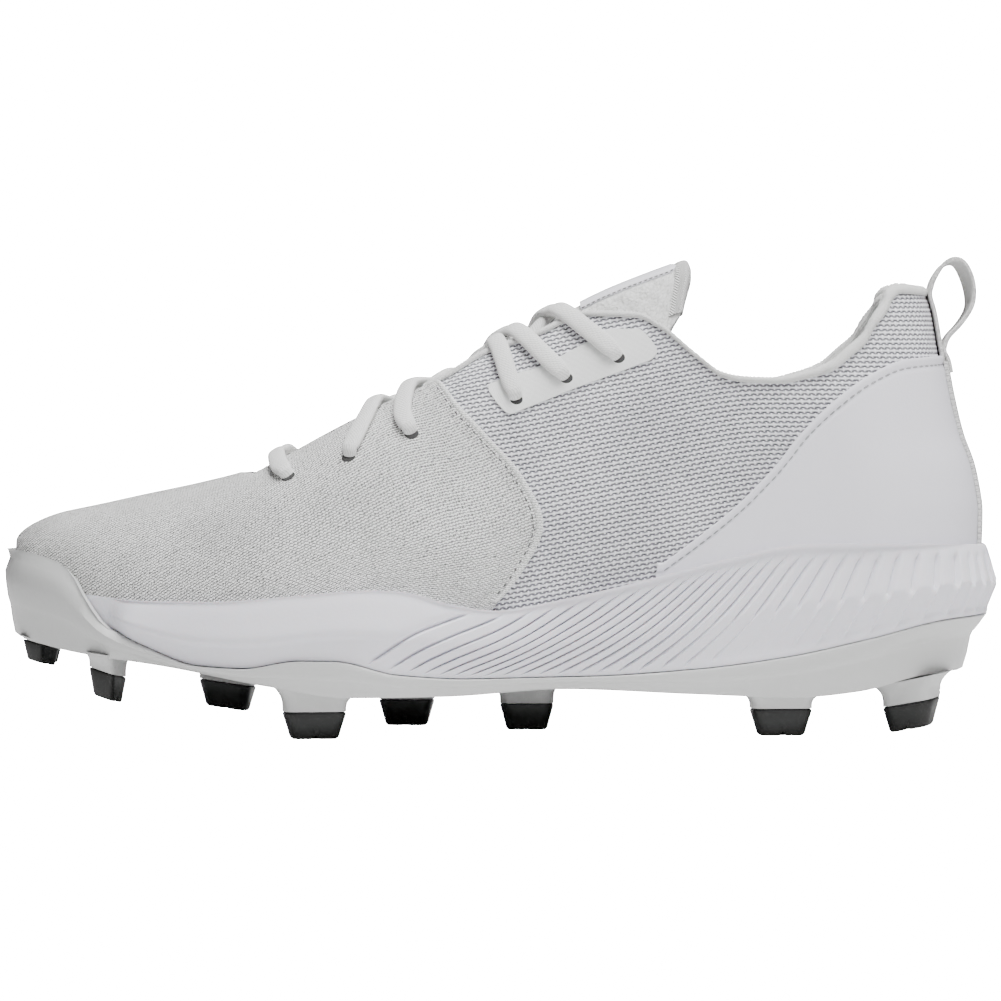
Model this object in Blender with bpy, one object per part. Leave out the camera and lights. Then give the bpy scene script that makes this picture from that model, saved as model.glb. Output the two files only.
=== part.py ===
"""Low moulded baseball cleat for the left foot, as separate named pieces.

Frame: metres, +Z up, the ground at zero, the toe towards -X, the heel towards +X
and the outer side of the foot towards -Y. The origin is under the middle of the
sole. Every piece is worked out from three families of curves: the plan outline
of the sole, the height lines along its side, and the last that the upper fits.
"""
import math
from collections import namedtuple

import bmesh
import bpy
import numpy as np
from mathutils import Vector

# Overall sizes
LENGTH = 0.300              # toe bumper to back of the heel foam
BALL_WIDTH = 0.108          # widest part of the sole
SOLE_HEIGHT = 0.0573        # top of the heel foam above the ground
COLLAR_RISE = 0.0900        # heel collar above the heel footbed
INSTEP_RISE = 0.1000        # instep of the last above the heel footbed
HEEL_LEAN = 0.0232          # how far the back of the heel leans over the sole
GAP = 0.0003                # clearance between pieces that touch
CURVED_GAP = 0.0005         # the same where both are curved

# Sole
PLATE = 0.0024              # floor of the outsole
RIM_WALL = 0.0020           # standing rim and toe bumper of the outsole
FOAM_RIM = 0.0030           # foam beside the upper
TOE_LIP = 0.0008            # the same inside the toe bumper
RIB_DEPTH = 0.0012          # pleats in the side of the foam
TRAY_INSET = 0.0075         # floor of the tray, in from the plan
HEEL_TRAY_INSET = 0.0135    # the same at the heel, where the wall leans
HEEL_TUCK = 0.0012          # foam tucked under the ridge at the heel
LEAST_FOAM = 0.0035         # least height of foam above the rim
INSOLE_THICKNESS = 0.0038

# Upper
WALL = 0.0021
PANEL_THICKNESS = 0.0008    # forefoot overlay
PANEL_LIFT = 0.0007         # its clearance, over the bend of the instep
COUNTER_THICKNESS = 0.0012  # heel overlay
STRIP_THICKNESS = 0.0009
STRIP_WIDTH = 0.0150
FILM_THICKNESS = 0.0006
LINING_THICKNESS = 0.0042
LINING_DEPTH = 0.0260       # how far the lining reaches down inside
LINING_ROLL = 0.0032        # how far the roll stands over the topline
LINING_LAP = 0.0004         # the roll's clearance over the topline, past the gap
TONGUE_THICKNESS = 0.0050
BADGE_THICKNESS = 0.0010    # smooth panel on the front of the tongue
LACE_WIDTH = 0.0056
LACE_THICKNESS = 0.0026
LOOP_WIDTH = 0.0140
LOOP_THICKNESS = 0.0012
LOOP_RISE = 0.0072          # top of the pull loop above the heel collar
LOOP_REACH = 0.0154         # how far it stands out behind the collar
LOOP_LENGTH = 0.0282        # from its top down to its foot

# Round ends of the plan, as shares of the length
HEEL_ROUND = 0.14
TOE_ROUND = 0.30
END_POWER = 2.3
NOSE_ROUND = 0.055          # the last drops to the toe over this share
NOSE_HEIGHT = 0.80          # and keeps this share of its height there
LAST_POWER = 2.25           # fullness of the last's cross-section
TUCK = 0.02                 # the last narrows this much at the feather line
TUCK_HEIGHT = 0.28
SHARP_ANGLE = math.radians(38)
HEEL_ZONE = (0.02, 0.20)    # shares over which the heel's sections change
TOE_ZONE = (0.80, 0.92)     # and the toe's
HUG_ZONE = (0.865, 0.895)   # where foam and rim turn to follow the upper
TOE_CROWD = 0.62            # share of the toe's round with closer sections

# Plan of sole and last: shares of the length and of the ball width.
Plan = namedtuple("Plan", "share centre sole last")
PLAN = (
    Plan(0.00, 0.000, 0.352, 0.310),
    Plan(0.15, 0.000, 0.352, 0.310),
    Plan(0.28, -0.012, 0.337, 0.296),
    Plan(0.42, -0.035, 0.322, 0.282),
    Plan(0.55, -0.048, 0.400, 0.358),
    Plan(0.64, -0.043, 0.478, 0.432),
    Plan(0.72, -0.015, 0.500, 0.452),
    Plan(0.85, 0.018, 0.468, 0.421),
    Plan(1.00, 0.080, 0.420, 0.375),
)

# Lines along the sole, from heel to toe: shares of the length and sole height.
Line = namedtuple("Line", "share height")
UNDERSIDE = (
    Line(0.00, 0.330), Line(0.05, 0.310), Line(0.13, 0.230), Line(0.20, 0.202),
    Line(0.30, 0.218), Line(0.44, 0.246), Line(0.56, 0.216), Line(0.65, 0.216),
    Line(0.73, 0.270), Line(0.84, 0.370), Line(0.94, 0.440), Line(1.00, 0.510),
)
RIM_LINE = (
    Line(0.000, 0.622), Line(0.050, 0.598), Line(0.130, 0.503), Line(0.215, 0.410),
    Line(0.304, 0.349), Line(0.420, 0.312), Line(0.530, 0.307), Line(0.600, 0.330),
    Line(0.665, 0.404), Line(0.700, 0.405), Line(0.755, 0.365), Line(0.800, 0.376),
    Line(0.852, 0.468), Line(0.890, 0.570), Line(0.916, 0.726), Line(0.930, 0.830),
    Line(0.950, 0.885), Line(1.000, 0.945),
)
FOAM_TOP = (
    Line(0.00, 0.980), Line(0.13, 1.000), Line(0.20, 0.994), Line(0.28, 0.914),
    Line(0.36, 0.806), Line(0.43, 0.722), Line(0.505, 0.656), Line(0.55, 0.690),
    Line(0.60, 0.760), Line(0.63, 0.768), Line(0.70, 0.738), Line(0.78, 0.707),
    Line(0.84, 0.707), Line(0.92, 0.731), Line(1.00, 0.770),
)
FOOTBED = (
    Line(0.00, 0.780), Line(0.20, 0.775), Line(0.35, 0.660), Line(0.50, 0.530),
    Line(0.65, 0.485), Line(0.80, 0.500), Line(1.00, 0.610),
)

# The last: its ridge and back in shares of its rises above the heel footbed.
RIDGE = (
    Line(0.00, 1.200), Line(0.10, 1.150), Line(0.20, 1.070), Line(0.262, 1.010),
    Line(0.30, 0.975), Line(0.35, 0.925), Line(0.40, 0.865), Line(0.45, 0.800),
    Line(0.50, 0.725), Line(0.55, 0.640), Line(0.60, 0.560), Line(0.65, 0.485),
    Line(0.70, 0.405), Line(0.753, 0.330), Line(0.806, 0.290), Line(0.870, 0.251),
    Line(0.914, 0.223), Line(0.956, 0.198), Line(1.00, 0.170),
)
Back = namedtuple("Back", "rise inset")
HEEL_BACK = (
    Back(-0.30, 0.52), Back(0.00, 0.41), Back(0.14, 0.33), Back(0.24, 0.32),
    Back(0.32, 0.36), Back(0.39, 0.42), Back(0.49, 0.56), Back(0.62, 0.68),
    Back(0.79, 0.80), Back(0.92, 0.89), Back(1.00, 1.02), Back(1.30, 1.35),
)
TOE_INSET = 0.0045          # front of the last behind the front of the bumper

# Topline and throat edge of the upper, in shares of the collar rise.
TOPLINE = (
    Line(0.000, 0.950), Line(0.030, 0.960), Line(0.050, 0.937), Line(0.075, 0.876),
    Line(0.100, 0.789), Line(0.125, 0.709), Line(0.155, 0.659), Line(0.195, 0.648),
    Line(0.230, 0.666), Line(0.265, 0.731), Line(0.300, 0.830), Line(0.325, 0.868),
    Line(0.375, 0.873), Line(0.437, 0.802), Line(0.488, 0.748), Line(0.537, 0.648),
    Line(0.565, 0.605), Line(0.617, 0.550), Line(0.650, 0.495), Line(0.700, 0.423),
    Line(0.745, 0.359),
)
THROAT_FRONT = 0.745
PANEL_STEP = 0.010          # the overlay's throat ends this much further forward

# Rear edge of the forefoot overlay: row from the foam up to the throat edge.
Edge = namedtuple("Edge", "row share")
PANEL_REAR = (
    Edge(0.00, 0.503), Edge(0.10, 0.470), Edge(0.22, 0.451), Edge(0.36, 0.466),
    Edge(0.55, 0.498), Edge(0.76, 0.525), Edge(1.00, 0.543),
)
# Top edge of the heel overlay.
COUNTER_EDGE = (
    Line(0.000, 0.755), Line(0.045, 0.740), Line(0.085, 0.690), Line(0.125, 0.610),
    Line(0.165, 0.510), Line(0.210, 0.380), Line(0.260, 0.240), Line(0.325, 0.075),
)
# Film under the upper eyelets: its lower and upper edges.
Film = namedtuple("Film", "share low high")
FILM = (
    Film(0.352, 0.800, 0.828), Film(0.365, 0.765, 0.845), Film(0.400, 0.735, 0.835),
    Film(0.437, 0.690, 0.765), Film(0.470, 0.655, 0.728), Film(0.490, 0.632, 0.700),
    Film(0.508, 0.640, 0.680),
)
# Tongue: its half-width round the last, where 1 is the whole side.
Wing = namedtuple("Wing", "share reach")
TONGUE = (
    Wing(0.262, 0.385), Wing(0.275, 0.440), Wing(0.300, 0.465), Wing(0.450, 0.410),
    Wing(0.600, 0.350), Wing(0.775, 0.260),
)
WING_TUCK = 0.0046          # the tongue's sides sit this much deeper
WING_TURN = (0.10, 0.34)    # turns between which they sink
THIN_WING, THIN_END = 0.45, 0.35
PANEL_SPAN = (0.268, 0.338) # shares that the tongue's smooth panel covers
PANEL_REACH = 0.15
LINING_END = 0.335          # share at which the collar lining ends
CLIMB_TURN = 0.16           # a lace leg climbs to the throat edge over this turn
CLIMB_GAP = 5 * GAP

Eyelet = namedtuple("Eyelet", "share drop")
EYELETS = (
    Eyelet(0.713, 0.36), Eyelet(0.647, 0.37), Eyelet(0.584, 0.40),
    Eyelet(0.462, 0.46), Eyelet(0.406, 0.47), Eyelet(0.348, 0.48),
)

# Pull loop: its folds from the collar, over and down, in shares of reach and length.
Fold = namedtuple("Fold", "reach drop")
LOOP = (
    Fold(0.195, 0.337), Fold(0.273, 0.213), Fold(0.448, 0.071), Fold(0.656, 0.018),
    Fold(0.825, 0.074), Fold(0.961, 0.245), Fold(1.000, 0.426), Fold(0.942, 0.557),
    Fold(0.760, 0.706), Fold(0.532, 0.844), Fold(0.448, 1.000),
)

# Pleats of the foam's side: column, where it starts at the rim, where it ends.
Fan = namedtuple("Fan", "column foot head")
FAN = (
    Fan(0, 0.000, 0.000), Fan(2, 0.008, 0.006), Fan(4, 0.028, 0.020),
    Fan(16, 0.190, 0.130), Fan(28, 0.344, 0.217), Fan(44, 0.504, 0.327),
    Fan(60, 0.635, 0.520), Fan(64, 0.705, 0.630), Fan(70, 0.815, 0.805),
    Fan(73, 0.870, 0.870), Fan(76, 0.916, 0.916), Fan(80, 0.965, 0.965),
    Fan(84, 0.994, 0.994), Fan(85, 1.000, 1.000),
)
FIRST_PLEAT, LAST_PLEAT = 5, 60

# Side of the foam: share of its height, how far it is in from the plan.
Side = namedtuple("Side", "level inset pleat")
FOAM_SIDE = (
    Side(0.00, 0.0022, 0.3), Side(0.42, 0.0000, 1.0), Side(0.84, 0.0018, 0.7),
)
# Side of the outsole at the waist and at the toe bumper and heel.
Shell = namedtuple("Shell", "level waist toe heel")
SHELL_SIDE = (
    Shell(0.00, 0.0048, 0.0030, 0.0105), Shell(0.30, 0.0028, 0.0014, 0.0080),
    Shell(0.34, 0.0018, 0.0008, 0.0070), Shell(0.72, 0.0012, 0.0000, 0.0046),
    Shell(1.00, 0.0012, 0.0030, 0.0029),
)

# Studs: share of the length, reach across the sole's half-width (minus is outer),
# shares of a stud's length, width and height, turn about the upright, lift as a
# share of the sole's height, and slope of foot and head along the shoe.
STUD_LENGTH = 0.0142
STUD_WIDTH = 0.0090
STUD_HEIGHT = 0.0078
Stud = namedtuple("Stud", "share reach length width turn lift tall slope")
STUDS = (
    Stud(0.960, -0.42, 0.62, 0.62, 60, 0.360, 0.72, -0.28),
    Stud(0.962, 0.42, 0.62, 0.62, -60, 0.360, 0.72, -0.28),
    Stud(0.888, -0.76, 0.72, 0.68, 72, 0.190, 1.00, -0.34),
    Stud(0.779, 0.70, 0.90, 1.00, -12, 0.084, 1.00, -0.14),
    Stud(0.682, -0.78, 1.00, 1.00, 8, 0.000, 1.00, 0.00),
    Stud(0.595, 0.74, 0.90, 1.00, -6, 0.000, 1.00, 0.00),
    Stud(0.473, 0.30, 0.88, 1.00, 0, 0.000, 1.00, 0.00),
    Stud(0.222, -0.72, 0.98, 1.00, 6, 0.000, 1.00, 0.00),
    Stud(0.214, 0.72, 0.98, 1.00, -6, 0.000, 1.00, 0.00),
    Stud(0.091, -0.62, 0.86, 1.00, -24, 0.028, 1.00, 0.20),
    Stud(0.081, 0.62, 0.86, 1.00, 24, 0.028, 1.00, 0.20),
)
STUD_FLARE = 1.30           # the head of a tip against its foot
BASE_FLARE = 1.70           # the root of a base against the foot of its tip
BASE_SPREAD = 1.34          # the same across the stud
STUD_CLIP = 0.28            # corner cut off a blade, as a share of its width

WHITE_MESH = (0.79, 0.79, 0.82)
WOVEN_GREY = (0.67, 0.67, 0.66)
SYNTHETIC = (0.71, 0.70, 0.75)
FOAM_WHITE = (0.70, 0.69, 0.74)
PLATE_GREY = (0.55, 0.55, 0.55)
TIP_BLACK = (0.024, 0.024, 0.022)
LACE_WHITE = (0.76, 0.76, 0.75)
KNIT_GREY = (0.70, 0.70, 0.69)
FILM_GREY = (0.72, 0.72, 0.71)

BED = FOOTBED[0].height * SOLE_HEIGHT
HEEL_END = LENGTH / 2
COLUMNS = FAN[-1].column


def curve(rows, column):
    """A smooth line through one column of a table, with no overshoot."""
    keys = np.array([row[0] for row in rows])
    values = np.array([getattr(row, column) for row in rows])
    steps = np.diff(keys)
    slopes = np.diff(values) / steps
    tangents = np.zeros(len(keys))
    tangents[0], tangents[-1] = slopes[0], slopes[-1]
    for i in range(1, len(slopes)):
        if slopes[i - 1] * slopes[i] > 0:
            tangents[i] = 2 * slopes[i - 1] * slopes[i] / (slopes[i - 1] + slopes[i])

    def at(key):
        i = int(np.clip(np.searchsorted(keys, key) - 1, 0, len(steps) - 1))
        u = min(max((key - keys[i]) / steps[i], 0.0), 1.0)
        rise = values[i + 1] - values[i]
        bend = tangents[i] * u * (1 - u) ** 2 - tangents[i + 1] * u * u * (1 - u)
        return float(values[i] + rise * u * u * (3 - 2 * u) + steps[i] * bend)
    return at


def ease(value, start, end):
    """A soft step from 0 to 1 as a value goes from start to end."""
    u = min(max((value - start) / (end - start), 0.0), 1.0)
    return u * u * (3 - 2 * u)


def blend(a, b, share):
    return a + (b - a) * share


def closing(share):
    """Share of the full width that the round heel and toe leave."""
    heel = min(share / HEEL_ROUND, 1.0)
    toe = min((1 - share) / TOE_ROUND, 1.0)
    return ((1 - (1 - heel) ** END_POWER) * (1 - (1 - toe) ** END_POWER)) ** (1 / END_POWER)


plan_centre = curve(PLAN, "centre")
plan_sole = curve(PLAN, "sole")
plan_last = curve(PLAN, "last")
underside = curve(UNDERSIDE, "height")
rim_line = curve(RIM_LINE, "height")
foam_top = curve(FOAM_TOP, "height")
footbed = curve(FOOTBED, "height")
ridge_line = curve(RIDGE, "height")
heel_back = curve(HEEL_BACK, "inset")
topline = curve(TOPLINE, "height")
panel_rear = curve(PANEL_REAR, "share")
counter_edge = curve(COUNTER_EDGE, "height")
tongue_reach = curve(TONGUE, "reach")


def sole_point(share, side, inset, height):
    """A point on the sole's plan, moved in from it; side is -1 outer, 1 inner."""
    x = HEEL_END - inset - share * (LENGTH - 2 * inset)
    half = (plan_sole(share) * BALL_WIDTH - inset) * closing(share)
    return Vector((x, plan_centre(share) * BALL_WIDTH + side * half, height))


def plan_middle():
    """Middle of the sole's width, which the origin lies under."""
    sides = [sole_point(i / 100, side, 0.0, 0.0).y for i in range(101) for side in (-1, 1)]
    return (min(sides) + max(sides)) / 2


def back_of_last(z):
    return HEEL_END - heel_back((z - BED) / COLLAR_RISE) * HEEL_LEAN


def last_share(x, z):
    """Where a place along the shoe lies on the last at some height."""
    back = back_of_last(z)
    front = TOE_INSET - HEEL_END
    return min(max((back - x) / (back - front), 0.0), 1.0)


def feather(share):
    """Height of the foot of the upper, just over the foam's footbed."""
    return footbed(share) * SOLE_HEIGHT + GAP


def last_height(share):
    """Height of the last's ridge over its feather line."""
    full = BED + ridge_line(share) * INSTEP_RISE - feather(share)
    drop = 1 - min((1 - share) / NOSE_ROUND, 1.0)
    return full * (NOSE_HEIGHT + (1 - NOSE_HEIGHT) * math.sqrt(1 - drop * drop))


def last_point(share, turn):
    """A point of the last: turn is -1 at the outer feather, 0 on the ridge, 1 inside."""
    angle = (1 - abs(turn)) * math.pi / 2
    level = math.sin(angle) ** (2 / LAST_POWER)
    width = max(math.cos(angle), 0.0) ** (2 / LAST_POWER)
    width *= 1 - TUCK * max(1 - level / TUCK_HEIGHT, 0.0) ** 2
    z = feather(share) + last_height(share) * level
    half = plan_last(share) * BALL_WIDTH * closing(share) * width
    back = back_of_last(z)
    x = back - share * (back + HEEL_END - TOE_INSET)
    y = plan_centre(share) * BALL_WIDTH + math.copysign(half, turn)
    return Vector((x, y, z))


def turn_at(share, z, side):
    """The turn round the last at which it reaches a height."""
    level = min(max((z - feather(share)) / last_height(share), 0.0), 1.0)
    angle = math.asin(level ** (LAST_POWER / 2))
    return side * (1 - 2 * angle / math.pi)


def side_normal(share, turn):
    """Outward direction of one side of the last, by small steps on it."""
    step = 0.002
    a = min(max(share, step), 1 - step)
    b = max(min(turn, 1 - step), step - 1)
    along = last_point(a + step, b) - last_point(a - step, b)
    around = last_point(a, b + step) - last_point(a, b - step)
    return around.cross(along).normalized()


def last_normal(share, turn):
    """Outward direction of the last; where its sides meet, the mean of both."""
    normal = side_normal(share, turn)
    if share <= 0.0 or share >= 1.0:
        normal = (normal + side_normal(share, -turn)).normalized()
    return normal


def off_last(share, turn, offset):
    return last_point(share, turn) + last_normal(share, turn) * offset


def edge_turn(share):
    """Turn of the topline and throat edge; ahead of the throat it runs on level."""
    share = min(share, THROAT_FRONT)
    return -turn_at(share, BED + topline(share) * COLLAR_RISE, -1)


def material(name, colour, roughness, metallic=0.0):
    made = bpy.data.materials.get(name) or bpy.data.materials.new(name)
    made.use_nodes = True
    shader = made.node_tree.nodes["Principled BSDF"]
    shader.inputs["Base Color"].default_value = (*colour, 1.0)
    shader.inputs["Roughness"].default_value = roughness
    shader.inputs["Metallic"].default_value = metallic
    return made


def add_object(name, points, faces, finish):
    """An object from points and faces, with its faces turned outwards."""
    mesh = bpy.data.meshes.new(name)
    shift = Vector((0.0, -plan_middle(), 0.0))
    mesh.from_pydata([tuple(point + shift) for point in points], [], faces)
    work = bmesh.new()
    work.from_mesh(mesh)
    bmesh.ops.recalc_face_normals(work, faces=work.faces)
    work.to_mesh(mesh)
    work.free()
    mesh.shade_smooth()
    mesh.set_sharp_from_angle(angle=SHARP_ANGLE)
    mesh.materials.append(finish)
    made = bpy.data.objects.new(name, mesh)
    bpy.context.scene.collection.objects.link(made)
    return made


def ring(place):
    """Points once round the foot: place gives one for a column and a side."""
    outer = [place(column, -1) for column in range(COLUMNS + 1)]
    inner = [place(column, 1) for column in range(COLUMNS - 1, 0, -1)]
    return outer + inner


def thin_ring(points, keep):
    """The points of some columns of a ring."""
    outer = [points[column] for column in keep]
    inner = [points[2 * COLUMNS - column] for column in reversed(keep[1:-1])]
    return outer + inner


def stack(name, rings, finish):
    """A closed body from rings of equal count; the first and last are filled."""
    count = len(rings[0])
    points = [point for one in rings for point in one]
    faces = []
    for level in range(len(rings) - 1):
        for i in range(count):
            j = (i + 1) % count
            a, b = level * count, (level + 1) * count
            faces.append((a + i, a + j, b + j, b + i))
    for base, flip in ((0, True), ((len(rings) - 1) * count, False)):
        for i in range(count // 2):
            cell = [base + i, base + i + 1, base + (count - i - 1) % count,
                    base + (count - i) % count]
            cell = list(dict.fromkeys(cell))
            faces.append(tuple(reversed(cell)) if flip else tuple(cell))
    return add_object(name, points, faces, finish)


def shell(name, front, back, cells, finish):
    """A sheet with thickness: cells name the corners of its front and back."""
    keys = list(dict.fromkeys(key for cell in cells for key in cell))
    number = {key: i for i, key in enumerate(keys)}
    count = len(keys)
    points = [front[key] for key in keys] + [back[key] for key in keys]
    faces, edges = [], set()
    for cell in cells:
        corners = list(dict.fromkeys(number[key] for key in cell))
        faces.append(tuple(corners))
        faces.append(tuple(i + count for i in reversed(corners)))
        edges.update(zip(corners, corners[1:] + corners[:1]))
    for a, b in edges:
        if (b, a) not in edges:
            faces.append((b, a, a + count, b + count))
    return add_object(name, points, faces, finish)


def sheet(name, place, columns, rows, finish, fold=()):
    """A shell over a grid; place gives its front and back points, and the columns
    named in fold are where its two sides meet."""
    def key(column, row):
        return (column, min(row, rows - row)) if column in fold else (column, row)

    front, back = {}, {}
    for column in range(columns + 1):
        for row in range(rows + 1):
            front[key(column, row)], back[key(column, row)] = place(column, row)
    cells = [(key(i, j), key(i + 1, j), key(i + 1, j + 1), key(i, j + 1))
             for i in range(columns) for j in range(rows)]
    return shell(name, front, back, cells, finish)


fan_low = curve(FAN, "foot")
fan_high = curve(FAN, "head")


def build_outsole(finish):
    """The plate with its standing rim, turned up as a bumper over the toe."""
    keep = [0, 1, 2, 3, 4] + list(range(6, LAST_PLEAT - 4, 3))
    keep += list(range(LAST_PLEAT - 4, COLUMNS + 1))

    def outer(row):
        def place(column, side):
            share = fan_low(column)
            low, high = underside(share) * SOLE_HEIGHT, rim_line(share) * SOLE_HEIGHT
            point = sole_point(share, side, inset_at(row, share), blend(low, high, row.level))
            if row.level == 1.0:
                point = blend(point, on_toe(share, side, high, RIM_WALL), toe_hug(share))
            return point
        return ring(place)

    def inside(level, toe_lift):
        """A row inside the rim; at the toe it follows foam and upper."""
        def place(column, side):
            share = fan_low(column)
            low, high = underside(share) * SOLE_HEIGHT + PLATE, rim_line(share) * SOLE_HEIGHT
            height = blend(low, high, level)
            if level < 1.0:
                height = min(height, foam_top(share) * SOLE_HEIGHT + toe_lift)
            inset = blend(tray_inset(share), inner_inset(share), level)
            point = sole_point(share, side, inset, height)
            return blend(point, on_toe(share, side, height, 0.0), toe_hug(share))
        return ring(place)

    def floor(column, side):
        share = fan_low(column)
        height = underside(share) * SOLE_HEIGHT + PLATE
        point = sole_point(share, side, tray_inset(share), height)
        toe = with_height(off_last(share, side, toe_clear() + GAP), height)
        return blend(point, toe, toe_hug(share))

    rings = [outer(row) for row in SHELL_SIDE]
    rings += [inside(1.0, 0.0), inside(0.8, 0.0015), inside(0.5, -0.0040), ring(floor)]
    return stack("outsole", [thin_ring(one, keep) for one in rings], finish)


def at_heel(share):
    """1 at the back of the heel, 0 ahead of it."""
    return 1 - ease(share, *HEEL_ZONE)


def inset_at(row, share):
    """Inset of one row of the outsole's side, between waist, toe and heel."""
    toe, heel = ease(share, *TOE_ZONE), at_heel(share)
    return row.waist + (row.toe - row.waist) * toe + (row.heel - row.waist) * heel


def inner_inset(share):
    """Inset of the inside of the standing rim."""
    return inset_at(SHELL_SIDE[-1], share) + RIM_WALL


def toe_hug(share):
    """How far foam and rim leave the plan to follow the upper round the toe."""
    return ease(share, *HUG_ZONE)


def toe_clear():
    """From the last to the inside of the toe bumper."""
    return PANEL_LIFT + PANEL_THICKNESS + CURVED_GAP


def beside_last(share, side, height, offset):
    """A place beside the last at some height, also below its feather line."""
    point = off_last(share, turn_at(share, height, side), offset)
    return with_height(point, height) if height < feather(share) else point


def on_toe(share, side, height, offset):
    """A place over the covered upper at some height, outside its clearance."""
    return beside_last(share, side, height, toe_clear() + offset)


def tray_inset(share):
    """Inset of the tray's floor: the rim's wall and a little draft."""
    return blend(TRAY_INSET, HEEL_TRAY_INSET, at_heel(share))


LIP_CLEAR = CURVED_GAP + TOE_LIP


def build_midsole(finish):
    """The foam: its foot in the tray, pleated side, rim and dished footbed."""
    def rim_height(share):
        top = foam_top(share) * SOLE_HEIGHT
        return min(rim_line(share) * SOLE_HEIGHT + GAP, top - LEAST_FOAM)

    def bottom(column, side):
        share = fan_low(column)
        height = underside(share) * SOLE_HEIGHT + PLATE + GAP
        point = sole_point(share, side, tray_inset(share) + 4 * GAP, height)
        toe = with_height(off_last(share, side, LIP_CLEAR), height)
        return blend(point, toe, toe_hug(share))

    def in_tray(column, side):
        share = fan_low(column)
        height = rim_height(share)
        point = sole_point(share, side, inner_inset(share) + 4 * GAP, height)
        return blend(point, beside_last(share, side, height, LIP_CLEAR), toe_hug(share))

    def beside(row):
        def place(column, side):
            share = blend(fan_low(column), fan_high(column), row.level)
            low, high = rim_height(fan_low(column)), foam_top(share) * SOLE_HEIGHT
            height = blend(low, high, 0.12 + 0.88 * row.level if toe_hug(share) else row.level)
            groove = FIRST_PLEAT <= column < LAST_PLEAT and column % 2 == 1
            inset = row.inset + RIB_DEPTH * row.pleat * groove
            inset += HEEL_TUCK * at_heel(share) * (row.level == 0.0)
            point = sole_point(share, side, inset, height)
            return blend(point, beside_last(share, side, height, LIP_CLEAR), toe_hug(share))
        return ring(place)

    def lip(offset):
        def place(column, side):
            share = fan_high(column)
            foam = blend(offset, min(offset, LIP_CLEAR), toe_hug(share))
            turn, z = foam_edge(share, side)
            return with_height(off_last(share, turn, foam), z)
        return ring(place)

    def dish(column, side):
        share = fan_high(column)
        return with_height(off_last(share, side, 2 * GAP), footbed(share) * SOLE_HEIGHT)

    rings = [ring(bottom), ring(in_tray)] + [beside(row) for row in FOAM_SIDE]
    rings += [lip(CURVED_GAP + FOAM_RIM), lip(CURVED_GAP), ring(dish)]
    return stack("midsole", rings, finish)


def with_height(point, z):
    return Vector((point.x, point.y, z))


def stations():
    """Shares along the last for the upper, close together round heel and toe."""
    heel = [HEEL_ROUND * (1 - math.cos(math.pi / 2 * i / 6)) for i in range(6)]
    quarter = [blend(HEEL_ROUND, THROAT_FRONT, i / 16) for i in range(16)]
    front = 1 - TOE_ROUND * TOE_CROWD
    vamp = [THROAT_FRONT, THROAT_FRONT + PANEL_STEP, blend(THROAT_FRONT, front, 0.55)]
    toe = [1 - (1 - front) * (1 - math.sin(math.pi / 2 * i / 8)) for i in range(9)]
    return heel + quarter + vamp + toe


STATIONS = stations()
THROAT_COLUMN = STATIONS.index(THROAT_FRONT)
SIDE_ROWS = 6
CROWN_ROWS = 3
ALL_ROWS = 2 * (SIDE_ROWS + CROWN_ROWS)


def row_turn(row, edge):
    """Turn of one row of the upper: side rows up to the edge, then the crown."""
    side = -1 if row <= ALL_ROWS // 2 else 1
    row = min(row, ALL_ROWS - row)
    if row <= SIDE_ROWS:
        return side * blend(1.0, edge, row / SIDE_ROWS)
    return side * edge * (1 - (row - SIDE_ROWS) / CROWN_ROWS)


def open_grid(columns, throat_column):
    """Cells of a sheet round the foot that is open behind a throat column."""
    last = len(columns) - 1

    def key(column, row):
        folded = (column == 0 and columns[0] == 0.0) or column == last
        return (column, min(row, ALL_ROWS - row)) if folded else (column, row)

    cells = []
    for i in range(last):
        for j in range(ALL_ROWS):
            side_row = j < SIDE_ROWS or j >= ALL_ROWS - SIDE_ROWS
            if side_row or i >= throat_column:
                cells.append((key(i, j), key(i + 1, j), key(i + 1, j + 1), key(i, j + 1)))
    return cells


def build_upper(finish):
    """One wall round the heel, quarters and toe; open at collar, throat and foot."""
    cells = open_grid(STATIONS, THROAT_COLUMN)
    outer, inner = {}, {}
    for column, row in {key for cell in cells for key in cell}:
        share = STATIONS[column]
        turn = row_turn(row, edge_turn(share))
        outer[column, row] = last_point(share, turn)
        inner[column, row] = inside_wall(share, turn, WALL)
    return shell("upper", outer, inner, cells, finish)


def inside_wall(share, turn, depth):
    """A point inside the last, level with the wall's foot along the feather line."""
    point = off_last(share, turn, -depth)
    if abs(turn) == 1.0:
        point.z = feather(share)
    return point


def foam_edge(share, side):
    """Turn and height at which the last passes the foam's top edge."""
    turn = side
    for _ in range(4):
        place = (HEEL_END - last_point(share, turn).x) / LENGTH
        height = foam_top(place) * SOLE_HEIGHT
        turn = turn_at(share, height, side)
    return turn, height


def foam_line_turn(share, side):
    """Turn just above the foam's edge, where the overlays stop."""
    return turn_at(share, foam_edge(share, side)[1] + 3 * GAP, side)


PANEL_MARGIN = 0.012        # turn by which the panel stops short of the throat edge


def panel_turn(share, row):
    """Turn of a row of the panel: the upper's own rows above the foam's edge."""
    edge, foot = edge_turn(share), abs(foam_line_turn(share, -1))
    side = -1 if row <= ALL_ROWS // 2 else 1
    row = min(row, ALL_ROWS - row)
    second = abs(row_turn(2, edge))
    if row > SIDE_ROWS:
        return side * abs(row_turn(row, edge))
    if second > foot - 0.03:
        turn = blend(foot, edge, row / SIDE_ROWS)
    elif row < 2:
        turn = blend(foot, second, row / 2)
    else:
        turn = abs(row_turn(row, edge))
    return side * (turn + PANEL_MARGIN * (row == SIDE_ROWS))


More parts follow.
